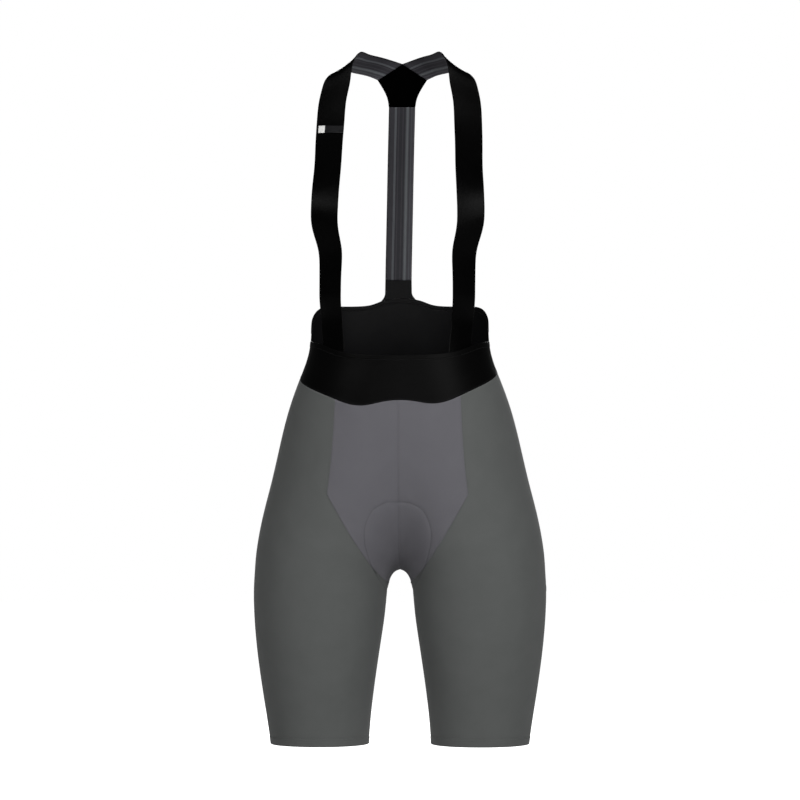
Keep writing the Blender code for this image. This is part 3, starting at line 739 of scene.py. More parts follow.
def run_along(sheet, edge, inset, start=0.0, end=1.0):
    """A line on a sheet at a distance in from one of its edges, and the normals along it."""
    grid, normals = sheet.grid, sheet.normals
    if edge in ("first", "last"):
        grid, normals = grid.swapaxes(0, 1), normals.swapaxes(0, 1)
    if edge in ("foot", "last"):
        grid, normals = grid[::-1], normals[::-1]
    reach, steps = spans(grid)[0], grid.shape[1] - 1
    columns = range(int(start * steps), int(end * steps) + 1)

    def read(values):
        return np.array([read_line(inset, reach[:, c], values[:, c]) for c in columns])

    return read(grid), read(normals)


def sew_rows(name, rows, finish):
    """Lays stitches along lines. Each row is a line of points and its normals."""
    points, faces = [], []
    for row, normals in rows:
        along = lengths(row)
        count = max(int(along[-1] / STITCH_PITCH), 1)
        at = (np.arange(count) + 0.5) * along[-1] / count
        out = unit(read_line(at, along, normals))
        way = read_line(at + STITCH_LOOK, along, row) - read_line(at - STITCH_LOOK, along, row)
        way = unit(way - (way * out).sum(-1, keepdims=True) * out)
        places = read_line(at, along, row) + STITCH_RISE * out
        for place, turned in zip(places, np.stack([np.cross(out, way), out, way], axis=1)):
            faces += [[corner + len(points) * len(stitch_points) for corner in face] for face in stitch_faces]
            points.append(place + stitch_points @ turned)
    piece = make_piece(name, np.concatenate(points), faces, [finish])
    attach(piece, "root")
    print(name, "has", len(points), "stitches")
    return piece


print("a 100 mm row takes", int(100 * MM / STITCH_PITCH), "stitches")

# %% [markdown]
# Every sheet rides on the garment's one body and takes the place of its solid. Its stitches and its
# turned-in hem strip are pieces of their own.

# %% Wearing, stitching and turning in
TURN_GAP, TURN_THICK = 0.1 * MM, 0.6 * MM
SEAM_STITCH, END_STITCH = 1.5 * MM, 2.0 * MM  # how far in from a seam, or from a piece's end, its stitches run
declared, threads, turnings = [], {}, {}


def wear(sheet, node, stretch, rests_on, held="stretched"):
    """Puts a finished sheet in its solid's place."""
    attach(sheet.piece, "root")
    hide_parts(node)
    declared.append((sheet, stretch, held, rests_on))


def stitch_down(sheet, rows, finish):
    """Sews a sheet's rows of stitches, as one piece named after it."""
    name = sheet.piece.name
    threads[name] = sew_rows(name.replace("cloth", "stitches"), rows, finish)


def turn_in(sheet, depth, edge, outward, finish):
    """The turned-in strip of a hem, which lies on the inside of a sheet along its top or foot edge."""
    top, foot = spans(sheet.grid)[:2]
    rows = np.flatnonzero((top if edge == "top" else foot).max(axis=1) < depth)
    strip_grid, name = sheet.grid[rows[0] : rows[-1] + 1], sheet.piece.name
    strip = sew(name.replace("cloth", "hem"), strip_grid, outward, -CLOTH - TURN_GAP, TURN_THICK, [finish])
    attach(strip.piece, "root")
    turnings[name] = strip.piece


print(f"a turned-in strip is {1000 * TURN_THICK:.1f} mm thick")

# %% [markdown]
# ## The seat pad shapes the cloth over it
#
# The pad lies inside, but its outline shows through the stretched cloth as a fine groove: an arc on the
# front panel and a fainter line on the seat. So the pad's outline is found first. It is given as half
# its width at each distance along the middle of the crotch, and is walked out over the form to both
# sides.

# %% Outline of the pad on the form
PAD_FRONT = -571.0 * MM
PAD_COLUMNS = 28
END_STEPS = 16  # rows near each end of the pad, where its outline turns. Between them a row is 5 mm long
NEARBY = 0.002  # a share of the middle line, over which its direction is read
# Half the pad's width by the distance along it, both in millimetres.
PAD_WIDTHS = {
    1.5: 14, 6: 26, 14: 36, 30: 44.5, 52: 47, 100: 38, 150: 33, 200: 42, 245: 55, 280: 56, 300: 46,
    312: 29, 317: 15,
}


def pad_on_form():
    """A grid over the pad's place on the form, from its front end to its rear end."""
    reach = np.array(list(PAD_WIDTHS)) * MM
    front_end = np.linspace(reach[0], reach[3], END_STEPS)
    rear_end = np.linspace(reach[9], reach[12], END_STEPS)
    fine = np.concatenate([front_end, np.arange(34, 280, 5) * MM, rear_end])
    half = curve(reach, np.array(list(PAD_WIDTHS.values())) * MM)(fine)
    share = cut_at(line, 2, PAD_FRONT) + fine / lengths(line)[-1]
    tangent = unit(at_share(line, share + NEARBY) - at_share(line, share - NEARBY))
    columns, way = [at_share(line, share)], np.array([[1.0, 0.0, 0.0]])
    steps = PAD_COLUMNS // 2
    for _ in range(steps):
        points = columns[-1]
        for _ in range(2):
            out = unit(np.cross(slope(points), tangent))
            way = out * np.sign((out * way).sum(-1, keepdims=True) + 1e-12)  # on to the same side
            points = settle(points + way * (half / steps / 2)[:, None])
        columns.append(points)
    left = np.stack(columns, axis=1)
    left[:, 0, 0] = 0
    return np.concatenate([(left * (-1, 1, 1))[:, :0:-1], left], axis=1)


pad_place = pad_on_form()
print("pad", round(1000 * lengths(pad_place[:, PAD_COLUMNS // 2])[-1]), "mm long")

# %% The pad's rim


def rim_at(inset):
    """A closed line round the pad's grid, this many of its points in from the edge."""
    far = -1 - inset
    sides = [pad_place[::-1, inset], pad_place[inset, 1:-1], pad_place[:, far], pad_place[far, -2:0:-1]]
    return np.concatenate(sides + [sides[0][:1]])


rim_count = int(1000 * lengths(rim_at(0))[-1])
rim_fine = resample(rim_at(0), rim_count)
inward_fine = resample(rim_at(1), rim_count) - rim_fine
rim_tree = KDTree(len(rim_fine))
for number, point in enumerate(rim_fine):
    rim_tree.insert(point, number)
rim_tree.balance()
print("the pad's rim is", rim_count, "mm round")

# %% How the pad lifts the cloth
PAD_GROOVE, PAD_GROOVE_WIDE = 0.4 * MM, 1.6 * MM
PAD_SWELL, SWELL_OUTSIDE, SWELL_REACH = 0.35 * MM, 2 * MM, 10 * MM
PAD_REGION = -480 * MM  # no cloth above this height is near the pad


def pad_lift(grid):
    """How far the pad moves the cloth out: up over the pad, with a fine groove along its rim."""
    lift = np.zeros(grid.shape[:2])
    for i, j in np.argwhere(grid[..., 2] < PAD_REGION):
        _, number, away = rim_tree.find(grid[i, j])
        over = away * np.sign((grid[i, j] - rim_fine[number]) @ inward_fine[number])
        swell = PAD_SWELL * smooth((over + SWELL_OUTSIDE) / SWELL_REACH)
        lift[i, j] = swell - PAD_GROOVE * ridge_at(over, 0.0, PAD_GROOVE_WIDE)
    return lift


print(f"over the pad the cloth rises {1000 * PAD_SWELL:.2f} mm")

# %% Stitches round the pad
PAD_STITCH_DEEP = 0.2 * MM  # the stitches lie in the groove
rim_normals = unit(slope(rim_fine))
sew_rows("pad_stitches", [(rim_fine - rim_normals * PAD_STITCH_DEEP, rim_normals)], pad_thread)

# %% [markdown]
# ## Legs
#
# Each leg is one piece: it wraps the thigh from the front panel's seam to the seat seam, and below the
# crotch it closes along the inseam. Rows run down and columns run round. Where a seam or a hem needs a
# fine step, rows and columns lie a few tenths of a millimetre apart, and elsewhere they are wide.

# %% Spacing of rows and columns
NEAR_SEAM = [0, 0.3, 0.7, 1.2, 1.8, 2.6, 3.4, 4.4, 6.0]
NEAR_HEM = [0, 0.3, 0.8, 1.8, 3.5, 5.5, 7.5, 8.8, 9.5, 10.0, 10.5, 11.2, 12.5, 15.0]


def spaced(length, start, end, count):
    """Shares of a length in millimetres: close together near both ends, count even steps between."""
    between = np.linspace(start[-1], length - end[-1], count + 1)[1:-1]
    return np.concatenate([start, between, length - np.array(end)[::-1]]) / length


LEG_SHARES = spaced(430, NEAR_SEAM, NEAR_SEAM, 100)
PANEL_SHARES = spaced(80, NEAR_SEAM, NEAR_SEAM, 46)
print("points round a leg:", len(LEG_SHARES), "and across half a panel:", len(PANEL_SHARES))

# %% The leg grid
HEM_HEIGHT = -883.2 * MM
HIP_HEIGHT = -430 * MM  # where the search for a leg's waist seam starts
EDGE_REACH = 0.4  # how far round the leg, as a share, its rows still follow the points of its edges


def on_leg(turn, angle, height):
    """Points of one leg's lobe, by their angle round it and their height."""
    side, _, centre = lobes(height)[:3]
    return cast(points_of(turn * side, centre, height), way_round(turn, angle))


def angle_round(turn, points):
    """The angle round one leg's lobe, from straight ahead, at which points lie."""
    side, _, centre = lobes(points[:, 2])[:3]
    return np.arctan2(turn * points[:, 0] - side, centre - points[:, 1])


def leg(turn, edge, rear, share):
    """One leg: a tube below the crotch, open above it between the front panel and the seat seam."""
    low_height = edge[ROWS_ABOVE, 2]
    inseam_shares = spaced(1000 * (low_height - HEM_HEIGHT), [0.0, 2.0], NEAR_HEM, 52)[1:]
    inseam_heights = low_height + (HEM_HEIGHT - low_height) * inseam_shares
    side, _, centre = lobes(inseam_heights)[:3]
    inseam = cast(points_of(turn * side, centre, inseam_heights), (-turn, 0, 0))
    front = np.concatenate([edge[: ROWS_ABOVE + 1], inseam])
    back = np.concatenate([rear[:-1], edge[ROWS_ABOVE:][::-1], inseam])

    first, last = angle_round(turn, front), angle_round(turn, back)
    first[ROWS_ABOVE:] = -np.pi / 2
    last = np.where(last < 0, last + 2 * np.pi, last)
    last[ROWS_ABOVE:] = 1.5 * np.pi
    angle = first[:, None] + (last - first)[:, None] * share

    seam_height = np.full(len(share), HIP_HEIGHT)
    for _ in range(ROUNDS):
        seam = on_leg(turn, angle[0], seam_height)
        seam_height = edge_height(band_seam, seam)
    down = np.clip(np.arange(len(front)) / ROWS_ABOVE, 0, 1)[:, None]
    height = seam_height + (low_height - seam_height) * down
    height[ROWS_ABOVE:] = front[ROWS_ABOVE:, 2:]
    near_front = np.clip(1 - share / EDGE_REACH, 0, 1) ** 2
    near_back = np.clip(1 - (1 - share) / EDGE_REACH, 0, 1) ** 2
    height += (front[:, 2:] - height[:, :1]) * near_front + (back[:, 2:] - height[:, -1:]) * near_back
    grid = on_leg(turn, angle, height)
    grid[0], grid[:, 0], grid[:, -1] = seam, front, back
    return grid


leg_grid = {turn: leg(turn, panel_seam[turn], seat_seam, LEG_SHARES) for turn in (1, -1)}
print("leg grid", leg_grid[1].shape[:2], "cloth", round(1000 * spans(leg_grid[1])[2].max()), "mm round at most")

# %% [markdown]
# A lapped seam is a little thicker than plain cloth and sinks where the two edges meet. The leg's hem
# is turned up by 10 mm and held by two rows of stitches, which draw a faint groove.

# %% Relief of seams and hems
SEAM_LAP = 3.0 * MM
SEAM_RISE, SEAM_SINK = 0.12 * MM, 0.16 * MM
HEM_RISE, HEM_GROOVE, HEM_FOLD = 0.35 * MM, 0.3 * MM, 0.35 * MM


def seam_lift(distance):
    """A seam's relief by the distance from it: a low rise, and a sunk edge."""
    return SEAM_RISE * step_at(distance, SEAM_LAP, 1.6 * MM) - SEAM_SINK * step_at(distance, 0.4 * MM, 0.9 * MM)


def hem_lift(distance, depth):
    """A turned hem's relief by the distance from its edge: a doubled strip, a groove, a rounded fold."""
    strip = HEM_RISE * step_at(distance, depth + 0.4 * MM, 1.0 * MM)
    groove = HEM_GROOVE * ridge_at(distance, depth, 0.6 * MM)
    return strip - groove - HEM_FOLD * step_at(distance, 0.3 * MM, 0.9 * MM)


print(f"a seam rises {1000 * SEAM_RISE:.2f} mm and a hem {1000 * HEM_RISE:.2f} mm")

# %% Left and right leg
SIDES = ((1, "left"), (-1, "right"))
LEG_HEM, LEG_HEM_ROWS = 10.0 * MM, (8.8 * MM, 11.0 * MM)
JERSEY_STRETCH = (1.12, 1.05)
for turn, side in SIDES:
    grid = leg_grid[turn]
    top, foot, first, last = spans(grid)
    lift = seam_lift(first) + seam_lift(last) + seam_lift(top) + hem_lift(foot, LEG_HEM) + pad_lift(grid)
    sheet = sew(f"leg_cloth_{side}", grid, (turn, 0, 0), lift, CLOTH, [leg_jersey])
    wear(sheet, f"leg_{side}", JERSEY_STRETCH, ["waistband_front_cloth"])
    rows = [run_along(sheet, "foot", inset) for inset in LEG_HEM_ROWS]
    rows += [run_along(sheet, edge, SEAM_STITCH) for edge in ("first", "last")]
    stitch_down(sheet, rows, leg_thread)
    turn_in(sheet, LEG_HEM, "foot", (turn, 0, 0), leg_jersey)

# %% [markdown]
# ## Front panel
#
# The paler panel is cut in two halves with a seam down the middle. Below the corner it narrows, turns
# under the crotch and ends in a point on the seat. The middle seam draws the cloth in a little, so it
# shows as a fine groove.

# %% The two halves of the panel
MIDDLE_SINK, MIDDLE_WIDE, MIDDLE_STITCH = 0.5 * MM, 2.0 * MM, 1.6 * MM
WAIST_REACH = 24  # rows over which the panel takes up the wave of the waist seam


def front_panel(turn, edge, middle, share):
    """Half of the front panel, from the middle seam to the leg."""
    grid = middle[:, None] + (edge - middle)[:, None] * share[:, None]
    waist = on_edge(band_seam, waist_angle(grid[0, 1:-1]), turn)
    fade = np.clip(1 - np.arange(len(grid)) / WAIST_REACH, 0, 1) ** 2
    grid[:, 1:-1] += (waist - grid[0, 1:-1]) * fade[:, None, None]
    grid[1:, 1:-1] = settle(grid[1:, 1:-1])
    return grid


panel_grid = {turn: front_panel(turn, panel_seam[turn], front_seam, PANEL_SHARES) for turn in (1, -1)}
for turn, side in SIDES:
    grid = panel_grid[turn]
    top, _, first, last = spans(grid)
    middle_seam = -MIDDLE_SINK * ridge_at(first, 0.0, MIDDLE_WIDE)
    lift = seam_lift(last) + seam_lift(top) + middle_seam + pad_lift(grid)
    sheet = sew(f"panel_cloth_{side}", grid, FRONT, lift, CLOTH, [panel_jersey], middle_column=0)
    wear(sheet, f"front_panel_{side}", JERSEY_STRETCH, ["waistband_front_cloth"])
    stitch_down(
        sheet, [run_along(sheet, "last", SEAM_STITCH), run_along(sheet, "first", MIDDLE_STITCH)], panel_thread
    )

# %% [markdown]
# ## Waistband
#
# The high waistband is a deep piece in front, which dips to the middle, and a taller one behind, which
# rises towards the tab. Both have a turned top edge held by a row of stitches, and three rows show on
# the inside of the back one, where its turned strip ends. The band's rows of points start at the top
# edge and end at the waist seam, on the very points where the legs and the panel end.

# %% Waistband grids, front and back
NEAR_BAND_HEM = [0, 0.3, 0.8, 1.8, 3.2, 4.4, 5.0, 5.5, 6.0, 6.5, 7.0, 7.5, 8.2, 9.5]
BAND_SHARES = spaced(62, NEAR_BAND_HEM, NEAR_SEAM, 26)
SIDE_ANGLE = 90  # the front and the back piece meet at the sides


def waistband(seam, top):
    """A waistband piece from its top edge down to the waist seam."""
    turns = np.where(seam[:, 0] < 0, -1, 1)
    upper = on_edge(top, waist_angle(seam), turns)
    grid = upper + (seam - upper) * BAND_SHARES[:, None, None]
    grid[1:-1] = settle(grid[1:-1])
    return grid


left, right = [np.concatenate([panel_grid[turn][0], leg_grid[turn][0][1:]]) for turn in (1, -1)]
split = int(np.argmin(np.abs(waist_angle(left) - SIDE_ANGLE)))
front_grid = waistband(np.concatenate([right[: split + 1][::-1], left[1 : split + 1]]), top_front)
back_grid = waistband(np.concatenate([left[split:], right[split:-1][::-1]]), top_back)
print("points round the waistband:", front_grid.shape[1] + back_grid.shape[1])

# %% Waistband cloth, hems and stitches
BAND_HEM_FRONT, BAND_HEM_BACK = 6.8 * MM, 6.6 * MM
BAND_STITCH = 0.2 * MM  # how far above the hem strip's edge its stitches run
STRIP_STITCHES = (0.5 * MM, 0.9 * MM, 1.3 * MM)  # the same for the rows on the inside of the back strip
BAND_STRETCH = (1.15, 1.03)


def band_lift(grid, hem):
    top, foot, first, last = spans(grid)
    return hem_lift(top, hem) + seam_lift(foot) + seam_lift(first) + seam_lift(last)


def band_rows(band, hem):
    return [run_along(band, "top", hem - BAND_STITCH), run_along(band, "foot", SEAM_STITCH)]


# The bands' inner faces take the paler inside knit, which is painted light.
knits = [waist_knit, inside_knit_painted_light]
front_lift, back_lift = band_lift(front_grid, BAND_HEM_FRONT), band_lift(back_grid, BAND_HEM_BACK)
front_band = sew("waistband_front_cloth", front_grid, FRONT, front_lift, CLOTH, knits)
back_band = sew("waistband_back_cloth", back_grid, BACK, back_lift, CLOTH, knits)
wear(front_band, "waistband_front", BAND_STRETCH, ["strap_cloth_left", "strap_cloth_right"])
wear(back_band, "waistband_back", BAND_STRETCH, ["tab_cloth"])
turn_in(front_band, BAND_HEM_FRONT, "top", FRONT, waist_knit)
# The back strip takes the paler inside knit too, so light is painted on it.
turn_in(back_band, BAND_HEM_BACK, "top", BACK, inside_knit_painted_light)
stitch_down(front_band, band_rows(front_band, BAND_HEM_FRONT), black_thread)
strip_face = CLOTH + TURN_GAP + TURN_THICK
inside = Sheet(back_band.piece, back_band.grid - strip_face * back_band.normals, -back_band.normals)
strip_rows = [run_along(inside, "top", BAND_HEM_BACK - inset) for inset in STRIP_STITCHES]
stitch_down(back_band, band_rows(back_band, BAND_HEM_BACK) + strip_rows, black_thread)

# %% [markdown]
# ## Seat pad
#
# The pad is moulded foam, thin at its rim, thick under the sit bones, with a channel down its middle
# and shallow moulded grooves where it has to bend. Its outer face follows the cloth. Its inner face is
# that face moved in by the foam's thickness, so the two and a rim strip close it.

# %% Thickness of the moulded pad
PAD_ROOM = 1.9 * MM
PAD_RIM, PAD_BODY, PAD_BEVEL = 1.4 * MM, 3.6 * MM, 13 * MM
CHANNEL_DEEP, CHANNEL_WIDE, CHANNEL_RUN = 2.2 * MM, 5 * MM, 30 * MM
GROOVE_DEEP, GROOVE_WIDE, GROOVE_FROM_RIM = 1.0 * MM, 1.8 * MM, 15 * MM
BONES_THICK, BONES_FROM_FRONT, BONES_LONG = 2.4 * MM, 245 * MM, 45 * MM
BONES_APART, BONES_WIDE = 26 * MM, 15 * MM


def pad_thickness(grid):
    """Foam thickness over the pad's grid: rim, body, the two sit-bone zones and the grooves."""
    front, rear, first, last = spans(grid)
    rim = np.minimum(np.minimum(front, rear), np.minimum(first, last))
    across = first - (first + last) / 2
    zone = ridge_at(front, BONES_FROM_FRONT, BONES_LONG) * ridge_at(np.abs(across), BONES_APART, BONES_WIDE)
    channel = ridge_at(across, 0.0, CHANNEL_WIDE) * np.clip(rim / CHANNEL_RUN, 0, 1)
    body = PAD_RIM + PAD_BODY * smooth(rim / PAD_BEVEL) + BONES_THICK * zone
    return body - CHANNEL_DEEP * channel - GROOVE_DEEP * ridge_at(rim, GROOVE_FROM_RIM, GROOVE_WIDE)


print(f"the pad is up to {1000 * pad_thickness(pad_place).max():.1f} mm thick")

# %% The closed pad


def closed_pad(name, grid, finish):
    rows, columns = grid.shape[:2]
    outer = settle(grid, CLOTH + PAD_ROOM)
    inner = outer - unit(slope(outer)) * pad_thickness(grid)[..., None]
    uv = cloth_uv(grid, columns // 2)
    count = rows * columns
    index, sheet = np.arange(count).reshape(rows, columns), quads(rows, columns)
    rim = np.concatenate([index[0, :-1], index[:-1, -1], index[-1, :0:-1], index[:0:-1, 0]])
    after = np.roll(rim, -1)
    strip = np.stack([rim, after, after + count, rim + count], axis=-1)
    faces = np.concatenate([sheet, sheet[:, ::-1] + count, strip])
    piece = make_piece(name, np.stack([outer, inner]), faces.tolist(), [finish])
    shape = bmesh.new()
    shape.from_mesh(piece.data)
    bmesh.ops.recalc_face_normals(shape, faces=shape.faces)
    layer = shape.loops.layers.uv.new("cloth")
    for face in shape.faces:
        for loop in face.loops:
            loop[layer].uv = uv[loop.vert.index % count]
    shape.to_mesh(piece.data)
    shape.free()
    return piece


seat_pad = closed_pad("seat_pad", pad_place, pad_face)
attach(seat_pad, "root")
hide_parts("chamois_pad")
print("pad faces:", len(seat_pad.data.polygons))

# %% [markdown]
# ## Straps
#
# A strap starts inside the front waistband, runs up over the chest, bends over the shoulder and ends on
# the yoke between the shoulder blades. The table gives its middle line and half its width, in
# millimetres, then how far its outer edge is tipped down and turned back, in degrees, and how far its
# middle bulges. Over the shoulder its inner, striped face turns to the front.

# %% Sections of a strap
Strap = namedtuple("Strap", "x y z half roll wrap crown")
STRAP = [
    Strap(81.8, -69.0, -402.0, 17.6, 0, 36, 0.7),
    Strap(84.0, -68.0, -374.0, 17.6, 0, 36, 0.7),
    Strap(86.2, -69.0, -345.0, 17.6, 0, 37, 0.7),
    Strap(86.4, -74.0, -312.0, 17.6, 0, 37, 0.7),
    Strap(85.6, -80.0, -280.0, 17.6, 0, 35, 0.7),
    Strap(86.0, -85.0, -254.0, 17.8, 0, 30, 0.7),
    Strap(89.4, -90.5, -238.0, 17.8, 0, 24, 0.7),
    Strap(92.4, -95.0, -220.0, 17.8, 0, 17, 0.7),
    Strap(92.4, -95.5, -203.0, 17.8, 0, 14, 0.7),
    Strap(91.2, -86.5, -176.0, 17.8, 0, 13, 0.7),
    Strap(89.5, -67.0, -148.0, 17.8, 1, 14, 0.7),
    Strap(88.8, -46.0, -118.0, 17.8, 2, 10, 0.7),
    Strap(87.6, -27.0, -88.0, 17.9, 4, 4, 0.7),
    Strap(85.4, -13.0, -60.0, 18.2, 9, 2, 0.5),
    Strap(81.7, -5.0, -41.0, 19.0, 16, 2, 0.0),
    Strap(77.0, 1.0, -22.0, 18.6, 27, 4, -1.2),
    Strap(66.4, 12.0, -10.3, 18.2, 40, 16, -1.7),
    Strap(51.0, 32.0, -10.9, 17.8, 40, 44, -0.6),
    Strap(33.9, 50.0, -14.0, 17.8, 38, 34, 0.3),
]
STRAP_TUCKED, STRAP_FREE = -350.0 * MM, -310.0 * MM  # between these the strap leaves the worn form
STRAP_LEAN = 4.5 * MM  # the left strap's foot lies this much nearer the middle
LEAN_FROM, LEAN_REACH = -200 * MM, 165 * MM
YOKE_LEAD = 34.0 * MM  # the stretch of a strap that lies flat on the back, next to the yoke
STRAP_STEPS = 200
NEAR_SELVEDGE = [0, 0.3, 0.7, 1.2, 2.0]
STRAP_SHARES = spaced(35, NEAR_SELVEDGE, NEAR_SELVEDGE, 14)
print("sections of a strap:", len(STRAP))

# %% The middle of the back, which yoke, back strap and tab follow
Back = namedtuple("Back", "height back lean")
BACK_LINE = [
    Back(-330, 77.0, -4.5), Back(-289, 79.2, -4.4), Back(-250, 85.5, -3.9), Back(-200, 93.0, -3.1),
    Back(-150, 95.0, -2.2), Back(-110, 90.5, -1.2), Back(-64, 80.0, 0.2), Back(-30, 67.5, 1.0),
    Back(-11, 58.5, 1.3), Back(10, 47.0, 1.3),
]
BACK_ROUND = 220 * MM  # radius of the back, across
Outline = namedtuple("Outline", "height half")
YOKE_FOOT, YOKE_CORNER, YOKE_PEAK = -64.2 * MM, -30.2 * MM, -9.8 * MM
YOKE_SIDES = [Outline(-64.2, 17.3), Outline(-53.7, 19.2), Outline(-41.6, 24.9), Outline(-30.2, 32.2)]
TAB_TOP = -289.0 * MM
TAB_SIDES = [Outline(-314, 22.6), Outline(-309, 18.6), Outline(-302, 17.3), Outline(-289, 17.1)]
read_back = columns_of(BACK_LINE)


def back_depth(x, height):
    """How far back the surface over the middle of the back lies."""
    return read_back(height)[..., 0] - x**2 / (2 * BACK_ROUND)


def back_point(x, height):
    """A point of that surface. Its middle line leans a little to one side."""
    return points_of(x + read_back(height)[..., 1], back_depth(x, height), height)


print("the back strap bows out to", round(1000 * read_back(-150 * MM)[0]), "mm behind the shoulders")

# %% The two shoulder straps


def strap(turn):
    """A shoulder strap as a grid, from inside the waistband to its slanting end on the yoke."""
    table = np.array(STRAP)
    centre, half = table[:, :3] * MM, table[:, 3:4] * MM
    roll, wrap = np.radians(table[:, 4]), np.radians(table[:, 5])
    crown = np.append(table[:, 6], 0) * MM
    across = points_of(np.cos(roll) * np.cos(wrap), np.cos(roll) * np.sin(wrap), -np.sin(roll))
    corner = YOKE_SIDES[-1].half * MM
    inner = np.concatenate([centre - half * across, [(0, back_depth(0.0, YOKE_PEAK), YOKE_PEAK)]])
    outer = np.concatenate([centre + half * across, [(corner, back_depth(corner, YOKE_CORNER), YOKE_CORNER)]])
    reach = lengths((inner + outer) / 2)
    at = np.linspace(0, reach[-1], STRAP_STEPS + 1)
    inner, outer = curve(reach, inner)(at), curve(reach, outer)(at)
    share = STRAP_SHARES[:, None]
    grid = inner[:, None] + (outer - inner)[:, None] * share
    up = unit(np.cross(np.gradient((inner + outer) / 2, axis=0), outer - inner))
    grid -= up[:, None] * (1 - (2 * share - 1) ** 2) * curve(reach, crown)(at)[:, None, None]
    low = grid[grid[:, len(share) // 2, 2] < STRAP_FREE]
    tucked = settle(cast(low * (1, 0, 1), FRONT), CLOTH + WEBBING)
    free = smooth((tucked[:, :, 2:] - STRAP_TUCKED) / (STRAP_FREE - STRAP_TUCKED))
    grid[: len(low)] = tucked + (low - tucked) * free
    flat = smooth(1 - (at[-1] - at) / YOKE_LEAD)[:, None]
    if turn > 0:
        grid[..., 0] -= STRAP_LEAN * np.clip((LEAN_FROM - grid[..., 2]) / LEAN_REACH, 0, 1)
    grid[..., 1] += (back_depth(grid[..., 0], grid[..., 2]) - grid[..., 1]) * flat
    grid[..., 0] = turn * grid[..., 0] + read_back(grid[..., 2])[..., 1] * flat
    return grid


def selvedge(grid):
    """A woven edge: thinner at the very edge, with a fine cord along it."""
    _, _, first, last = spans(grid)
    edge = np.minimum(first, last)
    return 0.12 * MM * ridge_at(edge, 1.4 * MM, 0.6 * MM) - 0.3 * MM * step_at(edge, 0.3 * MM, 0.7 * MM)


ELASTIC_STRETCH = (1.0, 1.15)
for turn, side in SIDES:
    grid = strap(turn)
    sheet = sew(f"strap_cloth_{side}", grid, (0, -1, 0.2), selvedge(grid), WEBBING, elastic_faces)
    wear(sheet, f"strap_{side}", ELASTIC_STRETCH, ["yoke_cloth"])
    stitch_down(sheet, [run_along(sheet, "foot", END_STITCH)], black_thread)
right_strap = sheet  # the label goes on it

# %% [markdown]
# ## Yoke, back strap and tab
#
# The yoke takes the ends of both straps and the head of the back strap. The tab joins the back strap to
# the waistband and flares where it meets it. All three follow one line down the back.

# %% Yoke
YOKE_ROW_SHARES = spaced(46, NEAR_SEAM, NEAR_SEAM, 16)
YOKE_COLUMN_SHARES = 2 * spaced(44, NEAR_SEAM, NEAR_SEAM, 16) - 1
YOKE_HEM, YOKE_STITCH = 4 * MM, 3.8 * MM
YOKE_STITCHED = (0.1, 0.9)  # the stretch of a side that is stitched, as shares of it
UNSTRETCHED = (1.0, 1.0)


def yoke():
    """A straight foot, hollow sides and a peaked top."""
    share = YOKE_ROW_SHARES[:, None]
    half = columns_of(YOKE_SIDES)(YOKE_FOOT + (YOKE_CORNER - YOKE_FOOT) * share)[..., 0]
    roof = YOKE_PEAK + (YOKE_CORNER - YOKE_PEAK) * np.abs(YOKE_COLUMN_SHARES)
    return back_point(half * YOKE_COLUMN_SHARES, YOKE_FOOT + (roof - YOKE_FOOT) * share)[::-1]


grid = yoke()
top, foot, first, last = spans(grid)
lift = seam_lift(top) + seam_lift(foot) + hem_lift(first, YOKE_HEM) + hem_lift(last, YOKE_HEM)
sheet = sew("yoke_cloth", grid, (0, 1, 0.4), lift, WEBBING, [yoke_knit, yoke_knit])
wear(sheet, "back_yoke", UNSTRETCHED, ["strap_cloth_left", "strap_cloth_right"])
rows = [run_along(sheet, edge, END_STITCH) for edge in ("top", "foot")]
rows += [run_along(sheet, edge, YOKE_STITCH, *YOKE_STITCHED) for edge in ("first", "last")]
stitch_down(sheet, rows, black_thread)

# %% Back strap
BACK_STRAP_HALF, BACK_STRAP_ROWS = 17.1 * MM, 121
heights = np.linspace(YOKE_FOOT, TAB_TOP, BACK_STRAP_ROWS)[:, None]
grid = back_point((2 * STRAP_SHARES - 1) * BACK_STRAP_HALF, heights)
sheet = sew("back_strap_cloth", grid, BACK, selvedge(grid), WEBBING, elastic_faces)
wear(sheet, "back_strap", ELASTIC_STRETCH, ["yoke_cloth"])
print("the back strap is", round(1000 * (YOKE_FOOT - TAB_TOP)), "mm high")

# %% Tab
TAB_EDGE = NEAR_SEAM[:6]
TAB_CLOSE = 0.7  # a power that brings the tab's rows closer together towards its foot


def on_back(x, height):
    """Points of the form's back."""
    return cast(points_of(x, 0, height), BACK)


def tab():
    """The tab's foot follows the waistband's top edge, and its head lies flat under the back strap."""
    across = 2 * spaced(35, TAB_EDGE, TAB_EDGE, 16) - 1
    share = spaced(25, TAB_EDGE, TAB_EDGE, 10)[:, None] ** TAB_CLOSE
    lean = BACK_LINE[1].lean * MM
    low = TAB_SIDES[0].height * MM
    foot_height = edge_height(top_back, on_back(TAB_SIDES[0].half * MM * across + lean, low))
    half = columns_of(TAB_SIDES)(TAB_TOP + (low - TAB_TOP) * share)[..., 0]
    height = TAB_TOP + (foot_height - TAB_TOP) * share
    on_form, on_strap = on_back(half * across + lean, height), back_point(half * across, height)
    on_form[:, :, 1] += (on_strap - on_form)[:, :, 1] * (1 - share)
    return on_form


grid = tab()
# Its inner face, seen from the front, is the paler inside knit, painted light.
sheet = sew("tab_cloth", grid, BACK, seam_lift(spans(grid)[0]), CLOTH, knits)
wear(sheet, "back_tab", UNSTRETCHED, ["back_strap_cloth"])
stitch_down(sheet, [run_along(sheet, "top", END_STITCH)], black_thread)
